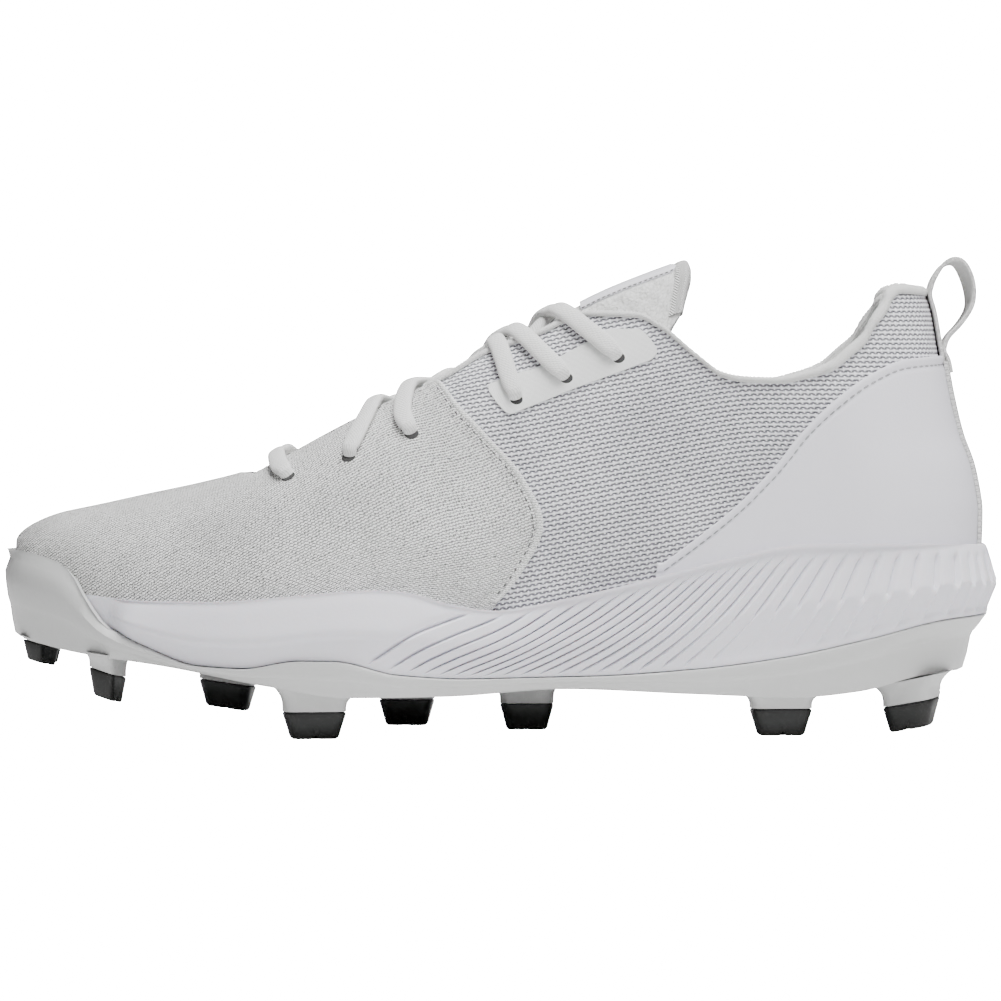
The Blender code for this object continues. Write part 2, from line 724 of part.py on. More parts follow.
def build_vamp_panel(finish):
    """The woven overlay: a rear edge bowed over the quarter, and a throat slot."""
    lead = 8
    front = [share for share in STATIONS if share > THROAT_FRONT]
    columns = [None] * lead + front
    cells = open_grid(columns, lead)
    low, high = PANEL_LIFT, PANEL_LIFT + PANEL_THICKNESS
    outer, inner = {}, {}
    for column, row in {key for cell in cells for key in cell}:
        height = min(row, ALL_ROWS - row, SIDE_ROWS) / SIDE_ROWS
        share = columns[column]
        if share is None:
            share = blend(panel_rear(height), front[0], column / lead)
        turn = panel_turn(share, row)
        outer[column, row] = off_last(share, turn, high)
        inner[column, row] = off_last(share, turn, low)
    return shell("vamp_panel", outer, inner, cells, finish)


def build_heel_counter(finish):
    """The smooth overlay that wraps the heel and runs out along the foam."""
    end = COUNTER_EDGE[-1].share
    shares = [share for share in STATIONS if share < end] + [end]
    count, rows = len(shares) - 1, 6

    def place(column, row):
        side = -1 if column < count else 1
        share = shares[abs(column - count)]
        foot = foam_line_turn(share, side)
        top = turn_at(share, BED + counter_edge(share) * COLLAR_RISE, side)
        turn = blend(foot, top, row / rows)
        low = off_last(share, turn, CURVED_GAP)
        return off_last(share, turn, CURVED_GAP + COUNTER_THICKNESS), low

    return sheet("heel_counter", place, 2 * count, rows, finish)


def across_heel(y, z):
    """Share of the last whose half-width reaches a distance off its middle."""
    low, high = 0.0, HEEL_ROUND
    for _ in range(24):
        share = (low + high) / 2
        reach = abs(last_point(share, turn_at(share, z, -1)).y)
        low, high = (share, high) if reach < abs(y) else (low, share)
    return low


def build_heel_strip(finish):
    """The tape down the back seam, over the counter."""
    base = 2 * CURVED_GAP + COUNTER_THICKNESS
    top = BED + COLLAR_RISE * (COUNTER_EDGE[0].height - 0.02)
    foot = foam_top(0.0) * SOLE_HEIGHT + 3 * GAP
    columns, rows = 4, 7

    def place(column, row):
        y = STRIP_WIDTH * (column / columns - 0.5)
        z = blend(foot, top, row / rows)
        share = across_heel(y, z)
        turn = turn_at(share, z, 1 if y > 0 else -1)
        normal = heel_normal(share, turn)
        point = last_point(share, turn)
        return point + normal * (base + STRIP_THICKNESS), point + normal * base

    return sheet("heel_strip", place, columns, rows, finish)


def heel_normal(share, turn):
    """The last's direction near the back seam, where its shares crowd together."""
    point = last_point(share, turn)
    step = 0.004
    below = across_point(point.y, point.z - step)
    above = across_point(point.y, point.z + step)
    left = across_point(point.y - step, point.z)
    right = across_point(point.y + step, point.z)
    return (right - left).cross(above - below).normalized()


def across_point(y, z):
    share = across_heel(y, z)
    return last_point(share, turn_at(share, z, 1 if y > 0 else -1))


def build_eyestay(name, side, finish):
    """The film under the three upper eyelets of one side."""
    low_edge, high_edge = curve(FILM, "low"), curve(FILM, "high")
    columns, rows = 8, 2

    def place(column, row):
        share = blend(FILM[0].share, FILM[-1].share, column / columns)
        rise = blend(low_edge(share), high_edge(share), row / rows)
        turn = turn_at(share, BED + rise * COLLAR_RISE, side)
        return off_last(share, turn, GAP + FILM_THICKNESS), off_last(share, turn, GAP)

    return sheet(name, place, columns, rows, finish)


def build_collar_lining(finish):
    """The padded lining: a closed section carried round the topline."""
    shares = [share for share in STATIONS if share < LINING_END] + [LINING_END]
    count = len(shares) - 1
    back, front = -WALL - GAP, -WALL - GAP - LINING_THICKNESS
    roll = LINING_ROLL
    section = (
        (back, -LINING_DEPTH), (back, GAP), (0.0, GAP + LINING_LAP), (-LINING_LAP / 2, roll * 0.6),
        (back * 0.8, roll), (blend(back, front, 0.5), roll), (front, roll * 0.3),
        (front, -roll * 1.5), (blend(back, front, 0.7), -LINING_DEPTH * 0.6),
        (blend(back, front, 0.25), -LINING_DEPTH),
    )

    def place(share, side, offset, climb):
        edge = BED + topline(share) * COLLAR_RISE
        turn = turn_at(share, edge + min(climb, 0.0), side)
        point = off_last(share, turn, offset)
        if climb > 0:
            point.z += climb
        return point

    points, faces = [], []
    size = len(section)
    for column in range(2 * count + 1):
        side = -1 if column < count else 1
        share = shares[abs(column - count)]
        points += [place(share, side, *corner) for corner in section]
    for column in range(2 * count):
        for i in range(size):
            j = (i + 1) % size
            a, b = column * size, (column + 1) * size
            faces.append((a + i, a + j, b + j, b + i))
    last = 2 * count * size
    faces.append(tuple(range(size)))
    faces.append(tuple(last + i for i in reversed(range(size))))
    return add_object("collar_lining", points, faces, finish)


def tongue_depth(share, turn):
    """How far the tongue's outside lies in from the last."""
    return WALL + 2 * GAP + WING_TUCK * ease(abs(turn), *WING_TURN)


def build_tongue(finish):
    """The padded tongue from under the vamp to above the collar."""
    columns, rows = 11, 8

    def place(column, row):
        share = blend(TONGUE[0].share, TONGUE[-1].share, column / columns)
        turn = tongue_reach(share) * (2 * row / rows - 1)
        depth = tongue_depth(share, turn)
        thick = TONGUE_THICKNESS * (1 - THIN_WING * abs(2 * row / rows - 1) ** 3)
        thick *= 1 - THIN_END * (column in (0, columns))
        return off_last(share, turn, -depth), off_last(share, turn, -depth - thick)

    return sheet("tongue", place, columns, rows, finish)


def build_tongue_panel(finish):
    """The smooth panel on the front of the tongue, above the top lace."""
    columns, rows = 4, 4

    def place(column, row):
        share = blend(*PANEL_SPAN, column / columns)
        turn = PANEL_REACH * (2 * row / rows - 1)
        depth = tongue_depth(share, turn) - CURVED_GAP
        return off_last(share, turn, -depth + BADGE_THICKNESS), off_last(share, turn, -depth)

    return sheet("tongue_panel", place, columns, rows, finish)


def lace_leg(start, end):
    """One flat-oval leg between two eyelets given by share and signed turn."""
    steps, sides = 5, 6
    over = PANEL_LIFT + PANEL_THICKNESS + CLIMB_GAP + LACE_THICKNESS / 2
    on_tongue = 2 * GAP + LACE_THICKNESS / 2 - WALL
    points, faces = [], []
    centres = []
    for i in range(steps + 1):
        share = blend(start[0], end[0], i / steps)
        turn = blend(start[1], end[1], i / steps)
        edge = edge_turn(share)
        height = blend(on_tongue, over, ease(abs(turn), edge - CLIMB_TURN, edge))
        centres.append((off_last(share, turn, height), last_normal(share, turn)))
    for i, (centre, normal) in enumerate(centres):
        before, after = centres[max(i - 1, 0)][0], centres[min(i + 1, steps)][0]
        across = (after - before).cross(normal).normalized()
        upward = across.cross(after - before).normalized()
        for k in range(sides):
            angle = 2 * math.pi * (k + 0.5) / sides
            points.append(centre + across * (math.cos(angle) * LACE_WIDTH / 2)
                          + upward * (math.sin(angle) * LACE_THICKNESS / 2))
    for i in range(steps):
        for k in range(sides):
            j = (k + 1) % sides
            faces.append((i * sides + k, i * sides + j,
                          (i + 1) * sides + j, (i + 1) * sides + k))
    faces.append(tuple(range(sides)))
    faces.append(tuple(steps * sides + k for k in reversed(range(sides))))
    return points, faces


def lace_legs(name, legs, finish):
    points, faces = [], []
    for start, end in legs:
        more, sides = lace_leg(start, end)
        faces += [tuple(i + len(points) for i in face) for face in sides]
        points += more
    return add_object(name, points, faces, finish)


def cut(target, tool, operation):
    """Join a tool to a body, or cut it away, and leave the tool as a guide."""
    step = target.modifiers.new(tool.name, "BOOLEAN")
    step.operation = operation
    step.solver = "EXACT"
    step.object = tool
    tool.hide_render = True
    tool.display_type = "WIRE"


def build_laces(finish):
    """Five crossings and the bar at the vamp, joined where they cross and meet."""
    outer = [(eyelet.share, -eyelet.drop) for eyelet in EYELETS]
    inner = [(eyelet.share, eyelet.drop) for eyelet in EYELETS]
    pairs = range(len(EYELETS) - 1)
    laces = lace_legs("laces", [(outer[i], inner[i + 1]) for i in pairs], finish)
    others = lace_legs("lace_guide", [(inner[i], outer[i + 1]) for i in pairs], finish)
    bar = lace_legs("lace_bar_guide", [(outer[0], inner[0])], finish)
    cut(laces, others, "UNION")
    cut(laces, bar, "UNION")
    return laces


def build_pull_loop(finish):
    """Webbing that leaves the collar, turns over and comes down the heel."""
    top = BED + COLLAR_RISE + LOOP_RISE
    back = back_of_last(BED + COLLAR_RISE)
    points, faces = [], []
    spots = [Vector((back + fold.reach * LOOP_REACH, 0.0, top - fold.drop * LOOP_LENGTH))
             for fold in LOOP]
    count = len(spots)
    for i, spot in enumerate(spots):
        way = spots[min(i + 1, count - 1)] - spots[max(i - 1, 0)]
        out = Vector((way.z, 0.0, -way.x)).normalized() * (LOOP_THICKNESS / 2)
        for side, sign in ((-1, 1), (1, 1), (1, -1), (-1, -1)):
            points.append(spot + out * sign + Vector((0.0, side * LOOP_WIDTH / 2, 0.0)))
    for i in range(count - 1):
        for k in range(4):
            j = (k + 1) % 4
            faces.append((i * 4 + k, i * 4 + j, i * 4 + 4 + j, i * 4 + 4 + k))
    faces.append((0, 1, 2, 3))
    end = 4 * (count - 1)
    faces.append((end + 3, end + 2, end + 1, end))
    return add_object("pull_loop", points, faces, finish)


def build_insole(finish):
    """The sock liner on the footbed, inside the upper's wall."""
    shares = [share for share in STATIONS]
    count = len(shares) - 1

    def level(lift, inset):
        def place(index, side):
            share = shares[index]
            point = off_last(share, side, -inset)
            return with_height(point, feather(share) + lift)
        outer = [place(i, -1) for i in range(count + 1)]
        return outer + [place(i, 1) for i in range(count - 1, 0, -1)]

    inset = WALL + 3 * GAP
    return stack("insole", [level(GAP, inset), level(GAP + INSOLE_THICKNESS, inset)], finish)


def plate_middle(x):
    """Height of the middle of the outsole's floor at a place along the shoe."""
    return underside((HEEL_END - x) / LENGTH) * SOLE_HEIGHT + PLATE / 2


def stud_centre(stud):
    """Where a stud stands under the plate, from the sole's own plan."""
    inner = sole_point(stud.share, 1, inset_at(SHELL_SIDE[0], stud.share), 0.0)
    middle = plan_centre(stud.share) * BALL_WIDTH
    return HEEL_END - stud.share * LENGTH, middle + stud.reach * (inner.y - middle)


def blade(stud, low, high, foot_scale, head_scale, head_spread):
    """A tapered blade with clipped corners; without a head height it meets the plate."""
    turn = math.radians(stud.turn)
    at_x, at_y = stud_centre(stud)

    def outline(scale, spread, z):
        half_l = stud.length * STUD_LENGTH / 2 * scale
        half_w = stud.width * STUD_WIDTH / 2 * spread
        cut_off = STUD_CLIP * stud.width * STUD_WIDTH * spread
        points = []
        for sx, sy in ((1, 1), (-1, 1), (-1, -1), (1, -1)):
            one = (sx * half_l, sy * (half_w - cut_off))
            two = (sx * (half_l - cut_off), sy * half_w)
            for u, v in ((one, two) if sx * sy > 0 else (two, one)):
                x = at_x + u * math.cos(turn) - v * math.sin(turn)
                y = at_y + u * math.sin(turn) + v * math.cos(turn)
                level = plate_middle(x) if z is None else z + stud.slope * (x - at_x)
                points.append(Vector((x, y, level)))
        return points

    points = outline(foot_scale, foot_scale, low) + outline(head_scale, head_spread, high)
    size = len(points) // 2
    faces = [(i, (i + 1) % size, (i + 1) % size + size, i + size) for i in range(size)]
    faces.append(tuple(reversed(range(size))))
    faces.append(tuple(range(size, 2 * size)))
    return points, faces


def build_studs(outsole, plate_finish, tip_finish):
    """Flared bases moulded on the plate, and a black blade under each."""
    points, faces = [], []
    for number, stud in enumerate(STUDS, 1):
        foot = stud.lift * SOLE_HEIGHT
        head = foot + stud.tall * STUD_HEIGHT
        tip = blade(stud, foot, head, 1.0, STUD_FLARE, STUD_FLARE)
        add_object(f"stud_tip_{number:02d}", *tip, tip_finish)
        more, sides = blade(stud, head + GAP, None, STUD_FLARE, BASE_FLARE, BASE_SPREAD)
        faces += [tuple(i + len(points) for i in face) for face in sides]
        points += more
    bases = add_object("stud_bases_guide", points, faces, plate_finish)
    cut(outsole, bases, "UNION")


def build_all():
    for old in list(bpy.data.objects):
        bpy.data.objects.remove(old, do_unlink=True)
    plate = material("plate", PLATE_GREY, 0.38)
    outsole = build_outsole(plate)
    build_studs(outsole, plate, material("stud", TIP_BLACK, 0.35))
    build_midsole(material("foam", FOAM_WHITE, 0.62))
    build_insole(material("sock", KNIT_GREY, 0.85))
    build_upper(material("mesh", WHITE_MESH, 0.80))
    build_vamp_panel(material("woven", WOVEN_GREY, 0.78))
    build_heel_counter(material("synthetic", SYNTHETIC, 0.45))
    build_heel_strip(material("tape", KNIT_GREY, 0.75))
    film = material("film", FILM_GREY, 0.40)
    build_eyestay("eyestay_lateral", -1, film)
    build_eyestay("eyestay_medial", 1, film)
    build_collar_lining(material("lining", KNIT_GREY, 0.85))
    build_tongue(material("knit", KNIT_GREY, 0.88))
    build_tongue_panel(film)
    build_laces(material("lace", LACE_WHITE, 0.80))
    build_pull_loop(material("webbing", LACE_WHITE, 0.78))


build_all()
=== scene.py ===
"""Low moulded baseball cleat for the left foot: the look of each piece, in metres.

The toe points towards -X, the outer side of the foot towards -Y, the ground is zero.
"""

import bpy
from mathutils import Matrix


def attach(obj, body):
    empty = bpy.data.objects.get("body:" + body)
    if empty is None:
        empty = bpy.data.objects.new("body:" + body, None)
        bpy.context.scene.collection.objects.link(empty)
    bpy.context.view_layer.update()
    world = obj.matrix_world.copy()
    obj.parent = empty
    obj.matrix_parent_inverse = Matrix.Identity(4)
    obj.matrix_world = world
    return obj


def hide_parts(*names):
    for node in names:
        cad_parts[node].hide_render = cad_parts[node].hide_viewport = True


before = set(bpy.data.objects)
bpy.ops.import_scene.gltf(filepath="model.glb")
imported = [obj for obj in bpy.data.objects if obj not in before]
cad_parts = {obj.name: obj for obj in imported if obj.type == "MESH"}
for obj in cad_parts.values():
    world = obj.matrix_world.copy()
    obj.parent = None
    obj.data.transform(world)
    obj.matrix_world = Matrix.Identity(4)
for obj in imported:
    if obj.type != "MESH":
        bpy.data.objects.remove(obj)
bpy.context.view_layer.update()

import math

import bmesh
import bpy
import numpy as np
from mathutils import Vector

# ---- Studio
# A plain pale floor with no edge in sight, soft light from above and in front,
# and a level camera as far off as the photograph's, shifted to frame the shoe.
MIDDLE = 0.00205             # the sole's own middle lies this far over
PIXEL = 0.0003015            # size of one pixel on the shoe's middle plane
PHOTO_SIDE = 1001
CAMERA_DISTANCE = 1.65
CAMERA_HEIGHT = 0.101
HORIZON_ROW = 395
SENSOR = 36.0

view = bpy.data.cameras.new("view")
view.sensor_width = SENSOR
view.lens = SENSOR * CAMERA_DISTANCE / (PHOTO_SIDE * PIXEL)
view.shift_x = 0.5 / PHOTO_SIDE
view.shift_y = (HORIZON_ROW - PHOTO_SIDE / 2) / PHOTO_SIDE
camera = bpy.data.objects.new("view", view)
camera.location = (0.0, MIDDLE - CAMERA_DISTANCE, CAMERA_HEIGHT)
camera.rotation_euler = (math.pi / 2, 0.0, 0.0)
bpy.context.scene.collection.objects.link(camera)
bpy.context.scene.camera = camera

FLOOR_RADIUS, FLOOR_CORNERS = 40.0, 48
FLOOR_GLOW, BACKDROP_GLOW, SKY_LIGHT = 30.0, 31.0, 0.15

floor_mesh = bpy.data.meshes.new("floor")
corners = [(FLOOR_RADIUS * math.cos(angle), FLOOR_RADIUS * math.sin(angle), 0.0)
           for angle in (2 * math.pi * i / FLOOR_CORNERS for i in range(FLOOR_CORNERS))]
floor_mesh.from_pydata(corners, [], [tuple(range(FLOOR_CORNERS))])
floor = bpy.data.objects.new("floor", floor_mesh)
bpy.context.scene.collection.objects.link(floor)


def add(tree, kind, inputs=None, **settings):
    """One node of a material, with its sockets filled by values or by other sockets."""
    made = tree.nodes.new(kind)
    for key, value in settings.items():
        setattr(made, key, value)
    for key, value in (inputs or {}).items():
        if isinstance(value, bpy.types.NodeSocket):
            tree.links.new(value, made.inputs[key])
        else:
            made.inputs[key].default_value = value
    return made


def maths(tree, operation, first, second=0.0, third=None, clamp=False):
    """One sum over values or sockets."""
    given = {0: first, 1: second} if third is None else {0: first, 1: second, 2: third}
    return add(tree, "ShaderNodeMath", given, operation=operation, use_clamp=clamp).outputs[0]


def finish(name, roughness, **plain):
    """A material, its node tree and its Principled shader."""
    made = bpy.data.materials.new(name)
    made.use_nodes = True
    shader = made.node_tree.nodes["Principled BSDF"]
    shader.inputs["Roughness"].default_value = roughness
    for key, value in plain.items():
        shader.inputs[key.replace("_", " ")].default_value = value
    return made, made.node_tree, shader


def tone(tree, factor, dark, light):
    """A colour between two, by a value that changes over the surface."""
    mixed = add(tree, "ShaderNodeMix", {"Factor": factor}, data_type="RGBA")
    mixed.inputs[6].default_value = (*dark, 1.0)
    mixed.inputs[7].default_value = (*light, 1.0)
    return mixed.outputs[2]


def bump(tree, shader, height, distance):
    raised = add(tree, "ShaderNodeBump", {"Height": height, "Distance": distance, "Strength": 1.0})
    tree.links.new(raised.outputs["Normal"], shader.inputs["Normal"])


paper, tree, shader = finish("floor", 0.9)
paper_place = add(tree, "ShaderNodeTexCoord").outputs["Object"]
paper_grain = add(tree, "ShaderNodeTexNoise", {"Vector": paper_place, "Scale": 3.0})
tree.links.new(tone(tree, paper_grain.outputs["Fac"], (0.85, 0.85, 0.85), (0.87, 0.87, 0.87)),
               shader.inputs["Base Color"])
seen = add(tree, "ShaderNodeLightPath").outputs["Is Camera Ray"]
tree.links.new(tone(tree, seen, (0.0, 0.0, 0.0), (1.0, 1.0, 1.0)),
               shader.inputs["Emission Color"])
shader.inputs["Emission Strength"].default_value = FLOOR_GLOW
floor_mesh.materials.append(paper)

world = bpy.data.worlds.new("studio")
world.use_nodes = True
sky = world.node_tree
seen = add(sky, "ShaderNodeLightPath").outputs["Is Camera Ray"]
glow = add(sky, "ShaderNodeMapRange", {"Value": seen, "To Min": SKY_LIGHT, "To Max": BACKDROP_GLOW})
sky.nodes["Background"].inputs["Color"].default_value = (1.0, 1.0, 1.0, 1.0)
sky.links.new(glow.outputs["Result"], sky.nodes["Background"].inputs["Strength"])
bpy.context.scene.world = world


LAMP_SIDE, LAMP_AIM = 0.8, Vector((0.0, 0.0, 0.05))


def softbox(name, place, power):
    """A large soft square lamp that looks at the shoe."""
    lamp = bpy.data.lights.new(name, "AREA")
    lamp.size, lamp.energy = LAMP_SIDE, power
    holder = bpy.data.objects.new(name, lamp)
    holder.location = place
    holder.rotation_euler = (Vector(place) - LAMP_AIM).to_track_quat("Z", "Y").to_euler()
    bpy.context.scene.collection.objects.link(holder)


softbox("overhead", (0.20, -0.30, 1.30), 44.0)
softbox("front", (0.9, -1.5, 0.75), 8.0)

# ---- Outsole
# The hard moulded plate: a floor with a standing rim, a crease along its side, a
# bumper turned up over the toe and the flared bases that carry the studs. The tables
# and the last below give the form of the whole shoe.
LENGTH = 0.300
BALL_WIDTH = 0.108
SOLE_HEIGHT = 0.0573
HEEL_END = LENGTH / 2
PLATE = 0.0024               # thickness of the plate's floor
RIM_WALL = 0.0020
HEEL_ZONE, TOE_ZONE = (0.02, 0.20), (0.80, 0.92)
TRAY_INSET, HEEL_TRAY_INSET = 0.0075, 0.0135
RIM_INSET, HEEL_RIM_TUCK = 0.0042, 0.0017
HEEL_ROUND, TOE_ROUND, END_POWER = 0.14, 0.30, 2.3
PLAN = (                     # share of the length, centre, half of sole, half of last
    (0.00, 0.000, 0.352, 0.310), (0.15, 0.000, 0.352, 0.310), (0.28, -0.012, 0.337, 0.296),
    (0.42, -0.035, 0.322, 0.282), (0.55, -0.048, 0.400, 0.358), (0.64, -0.043, 0.478, 0.432),
    (0.72, -0.015, 0.500, 0.452), (0.85, 0.018, 0.468, 0.421), (1.00, 0.080, 0.420, 0.375),
)
UNDERSIDE = (                # share of the length, share of the sole's height
    (0.00, 0.330), (0.05, 0.310), (0.13, 0.230), (0.20, 0.202), (0.30, 0.218), (0.44, 0.246),
    (0.56, 0.216), (0.65, 0.216), (0.73, 0.270), (0.84, 0.370), (0.94, 0.440), (1.00, 0.510),
)
RIM_LINE = (                 # share of the length, share of the sole's height
    (0.000, 0.622), (0.050, 0.598), (0.130, 0.503), (0.215, 0.410), (0.304, 0.349),
    (0.420, 0.312), (0.530, 0.307), (0.600, 0.330), (0.665, 0.404), (0.700, 0.405),
    (0.755, 0.365), (0.800, 0.376), (0.852, 0.468), (0.890, 0.570), (0.916, 0.726),
    (0.930, 0.830), (0.950, 0.885), (1.000, 0.945),
)
FOAM_TOP = (                 # share of the length, share of the sole's height
    (0.00, 0.980), (0.13, 1.000), (0.20, 0.994), (0.28, 0.914), (0.36, 0.806), (0.43, 0.722),
    (0.505, 0.656), (0.55, 0.690), (0.60, 0.760), (0.63, 0.768), (0.70, 0.738), (0.78, 0.707),
    (0.84, 0.707), (0.92, 0.731), (1.00, 0.770),
)
SHELL_SIDE = (               # level up the side, inset at the waist, the toe and the heel
    (0.00, 0.0048, 0.0030, 0.0105), (0.12, 0.0036, 0.0022, 0.0092),
    (0.27, 0.0029, 0.0015, 0.0081), (0.31, 0.0022, 0.0011, 0.0074),
    (0.36, 0.0018, 0.0008, 0.0069), (0.55, 0.0014, 0.0002, 0.0056),
    (0.72, 0.0012, 0.0000, 0.0046), (0.90, 0.0011, 0.0014, 0.0035),
    (0.97, 0.0013, 0.0026, 0.0031), (1.00, 0.0018, 0.0034, 0.0036),
)


def curve(rows, column=1):
    """A smooth line through one column of a table, with no overshoot."""
    keys = np.array([row[0] for row in rows])
    values = np.array([row[column] for row in rows])
    steps = np.diff(keys)
    slopes = np.diff(values) / steps
    tangents = np.zeros(len(keys))
    tangents[0], tangents[-1] = slopes[0], slopes[-1]
    for i in range(1, len(slopes)):
        if slopes[i - 1] * slopes[i] > 0:
            tangents[i] = 2 * slopes[i - 1] * slopes[i] / (slopes[i - 1] + slopes[i])

    def at(key):
        i = np.clip(np.searchsorted(keys, key) - 1, 0, len(steps) - 1)
        u = np.clip((key - keys[i]) / steps[i], 0.0, 1.0)
        bend = tangents[i] * u * (1 - u) ** 2 - tangents[i + 1] * u * u * (1 - u)
        return values[i] + (values[i + 1] - values[i]) * u * u * (3 - 2 * u) + steps[i] * bend
    return at


def ease(value, start, end):
    """A soft step from 0 to 1 as a value goes from start to end."""
    u = np.clip((value - start) / (end - start), 0.0, 1.0)
    return u * u * (3 - 2 * u)


def blend(a, b, share):
    return a + (b - a) * share


def stacked(x, y, z):
    return np.stack(np.broadcast_arrays(x, y, z), axis=-1).astype(float)


def closing(share):
    """Share of the full width that the round heel and toe leave."""
    heel = np.minimum(share / HEEL_ROUND, 1.0)
    toe = np.minimum((1 - share) / TOE_ROUND, 1.0)
    return ((1 - (1 - heel) ** END_POWER) * (1 - (1 - toe) ** END_POWER)) ** (1 / END_POWER)


plan_centre, plan_sole, plan_last = (curve(PLAN, column) for column in (1, 2, 3))
underside, rim_line, foam_top = curve(UNDERSIDE), curve(RIM_LINE), curve(FOAM_TOP)


def sole_point(share, side, inset, height):
    """A place on the sole's plan, moved in from it; side is -1 outer, 1 inner."""
    x = HEEL_END - inset - share * (LENGTH - 2 * inset)
    half = (plan_sole(share) * BALL_WIDTH - inset) * closing(share)
    return stacked(x, plan_centre(share) * BALL_WIDTH + side * half, height)


def once_round(shares):
    """Shares and sides once round the foot, from the heel by the outer side."""
    back = shares[-2:0:-1]
    return (np.concatenate([shares, back]),
            np.concatenate([-np.ones(len(shares)), np.ones(len(back))]))


CROWD_POWER, CROWD_PART = 1.8, 0.55


def crowded(count):
    """Shares along the sole, closer together round the heel and the toe."""
    u = np.linspace(0, 1, count)
    drawn = 0.5 * (1 - np.sign(1 - 2 * u) * np.abs(1 - 2 * u) ** CROWD_POWER)
    return drawn * CROWD_PART + u * (1 - CROWD_PART)


def at_heel(share):
    return 1 - ease(share, *HEEL_ZONE)


def shell_inset(share, row):
    """Inset of a row of the side, with its own values at the toe and at the heel."""
    return (row[1] + (row[2] - row[1]) * ease(share, *TOE_ZONE)
            + (row[3] - row[1]) * at_heel(share))


def piece(name, points, faces, material, slot, replaced=(), cloth=None, sharp=40, weld=False):
    """One solid piece of the shoe, facing out, that rides on the only body."""
    mesh = bpy.data.meshes.new(name)
    moved = np.asarray(points, float).reshape(-1, 3) + (0.0, MIDDLE, 0.0)
    mesh.from_pydata(moved.tolist(), [], [tuple(map(int, face)) for face in faces])
    if cloth is not None:
        place = mesh.attributes.new("cloth", "FLOAT_VECTOR", "POINT")
        flat = np.zeros((len(moved), 3), np.float32)
        flat[:, :2] = np.asarray(cloth, float).reshape(-1, 2)
        place.data.foreach_set("vector", flat.ravel())
    work = bmesh.new()
    work.from_mesh(mesh)
    if weld:
        bmesh.ops.remove_doubles(work, verts=work.verts, dist=0.00001)
    loose = [vert for vert in work.verts if not vert.link_faces]
    bmesh.ops.delete(work, geom=loose, context="VERTS")
    bmesh.ops.recalc_face_normals(work, faces=work.faces)
    work.to_mesh(mesh)
    work.free()
    mesh.shade_smooth()
    mesh.set_sharp_from_angle(angle=math.radians(sharp))
    mesh.materials.append(material)
    made = bpy.data.objects.new(name, mesh)
    bpy.context.scene.collection.objects.link(made)
    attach(made, "root")
    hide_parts(*replaced)
    return made


def ring_faces(levels, count):
    """Faces between closed rings of equal count."""
    faces = []
    for level in range(levels - 1):
        a, b = level * count, (level + 1) * count
        faces += [(a + i, a + (i + 1) % count, b + (i + 1) % count, b + i)
                  for i in range(count)]
    return faces


def tube_faces(columns, rows):
    """Faces round a closed section carried along a line, with its ends shut."""
    faces = ring_faces(columns, rows)
    faces.append(tuple(reversed(range(rows))))
    faces.append(tuple((columns - 1) * rows + i for i in range(rows)))
    return faces


def ladder(base, count):
    """Faces across one ring that runs once round the foot."""
    cells = []
    for i in range(count // 2):
        cell = [base + i, base + i + 1, base + (count - i - 1) % count, base + (count - i) % count]
        cells.append(tuple(dict.fromkeys(cell)))
    return cells


def spanned(ring, cells):
    """A grid across a ring that runs once round the foot, from its outer side."""
    half = len(ring) // 2 + 1
    outer_edge, inner_edge = ring[:half], np.roll(ring[::-1], 1, axis=0)[:half]
    across = np.linspace(0, 1, cells + 1)
    part = across[:, None]
    return outer_edge[:, None] * (1 - part) + inner_edge[:, None] * part, across


def grid_faces(start, columns, rows):
    """Faces of a grid of points whose first has some number."""
    firsts = [start + i * (rows + 1) + j for i in range(columns) for j in range(rows)]
    return [(a, a + rows + 1, a + rows + 2, a + 1) for a in firsts]


def joined(parts):
    """Points and faces of several solids as those of one."""
    points, faces, start = [], [], 0
    for some_points, some_faces in parts:
        points.append(some_points)
        faces += [tuple(start + i for i in face) for face in some_faces]
        start += len(some_points)
    return np.concatenate(points), faces


# The last that the upper fits, which foam and bumper also follow round the toe.
COLLAR_RISE = 0.0900
INSTEP_RISE = 0.1000
HEEL_LEAN = 0.0232
TOE_INSET = 0.0045
NOSE_ROUND, NOSE_HEIGHT = 0.055, 0.80
LAST_POWER = 2.25
TUCK, TUCK_HEIGHT = 0.02, 0.28
GAP = 0.0003
FOOTBED = (                  # share of the length, share of the sole's height
    (0.00, 0.780), (0.20, 0.775), (0.35, 0.660), (0.50, 0.530),
    (0.65, 0.485), (0.80, 0.500), (1.00, 0.610),
)
RIDGE = (                    # share of the length, share of the instep's rise
    (0.00, 1.200), (0.10, 1.150), (0.20, 1.070), (0.262, 1.010), (0.30, 0.975),
    (0.35, 0.925), (0.40, 0.865), (0.45, 0.800), (0.50, 0.725), (0.55, 0.640), (0.60, 0.560),
    (0.65, 0.485), (0.70, 0.405), (0.753, 0.330), (0.806, 0.290), (0.870, 0.251),
    (0.914, 0.223), (0.956, 0.198), (1.00, 0.170),
)
HEEL_BACK = (                # share of the collar's rise, share of the heel's lean
    (-0.30, 0.52), (0.00, 0.41), (0.14, 0.33), (0.24, 0.32), (0.32, 0.36), (0.39, 0.42),
    (0.49, 0.56), (0.62, 0.68), (0.79, 0.80), (0.92, 0.89), (1.00, 1.02), (1.30, 1.35),
)
footbed, ridge_line, heel_back = curve(FOOTBED), curve(RIDGE), curve(HEEL_BACK)
BED = FOOTBED[0][1] * SOLE_HEIGHT


def back_of_last(z):
    return HEEL_END - heel_back((z - BED) / COLLAR_RISE) * HEEL_LEAN


def feather(share):
    """Height of the foot of the upper, just over the foam's footbed."""
    return footbed(share) * SOLE_HEIGHT + GAP


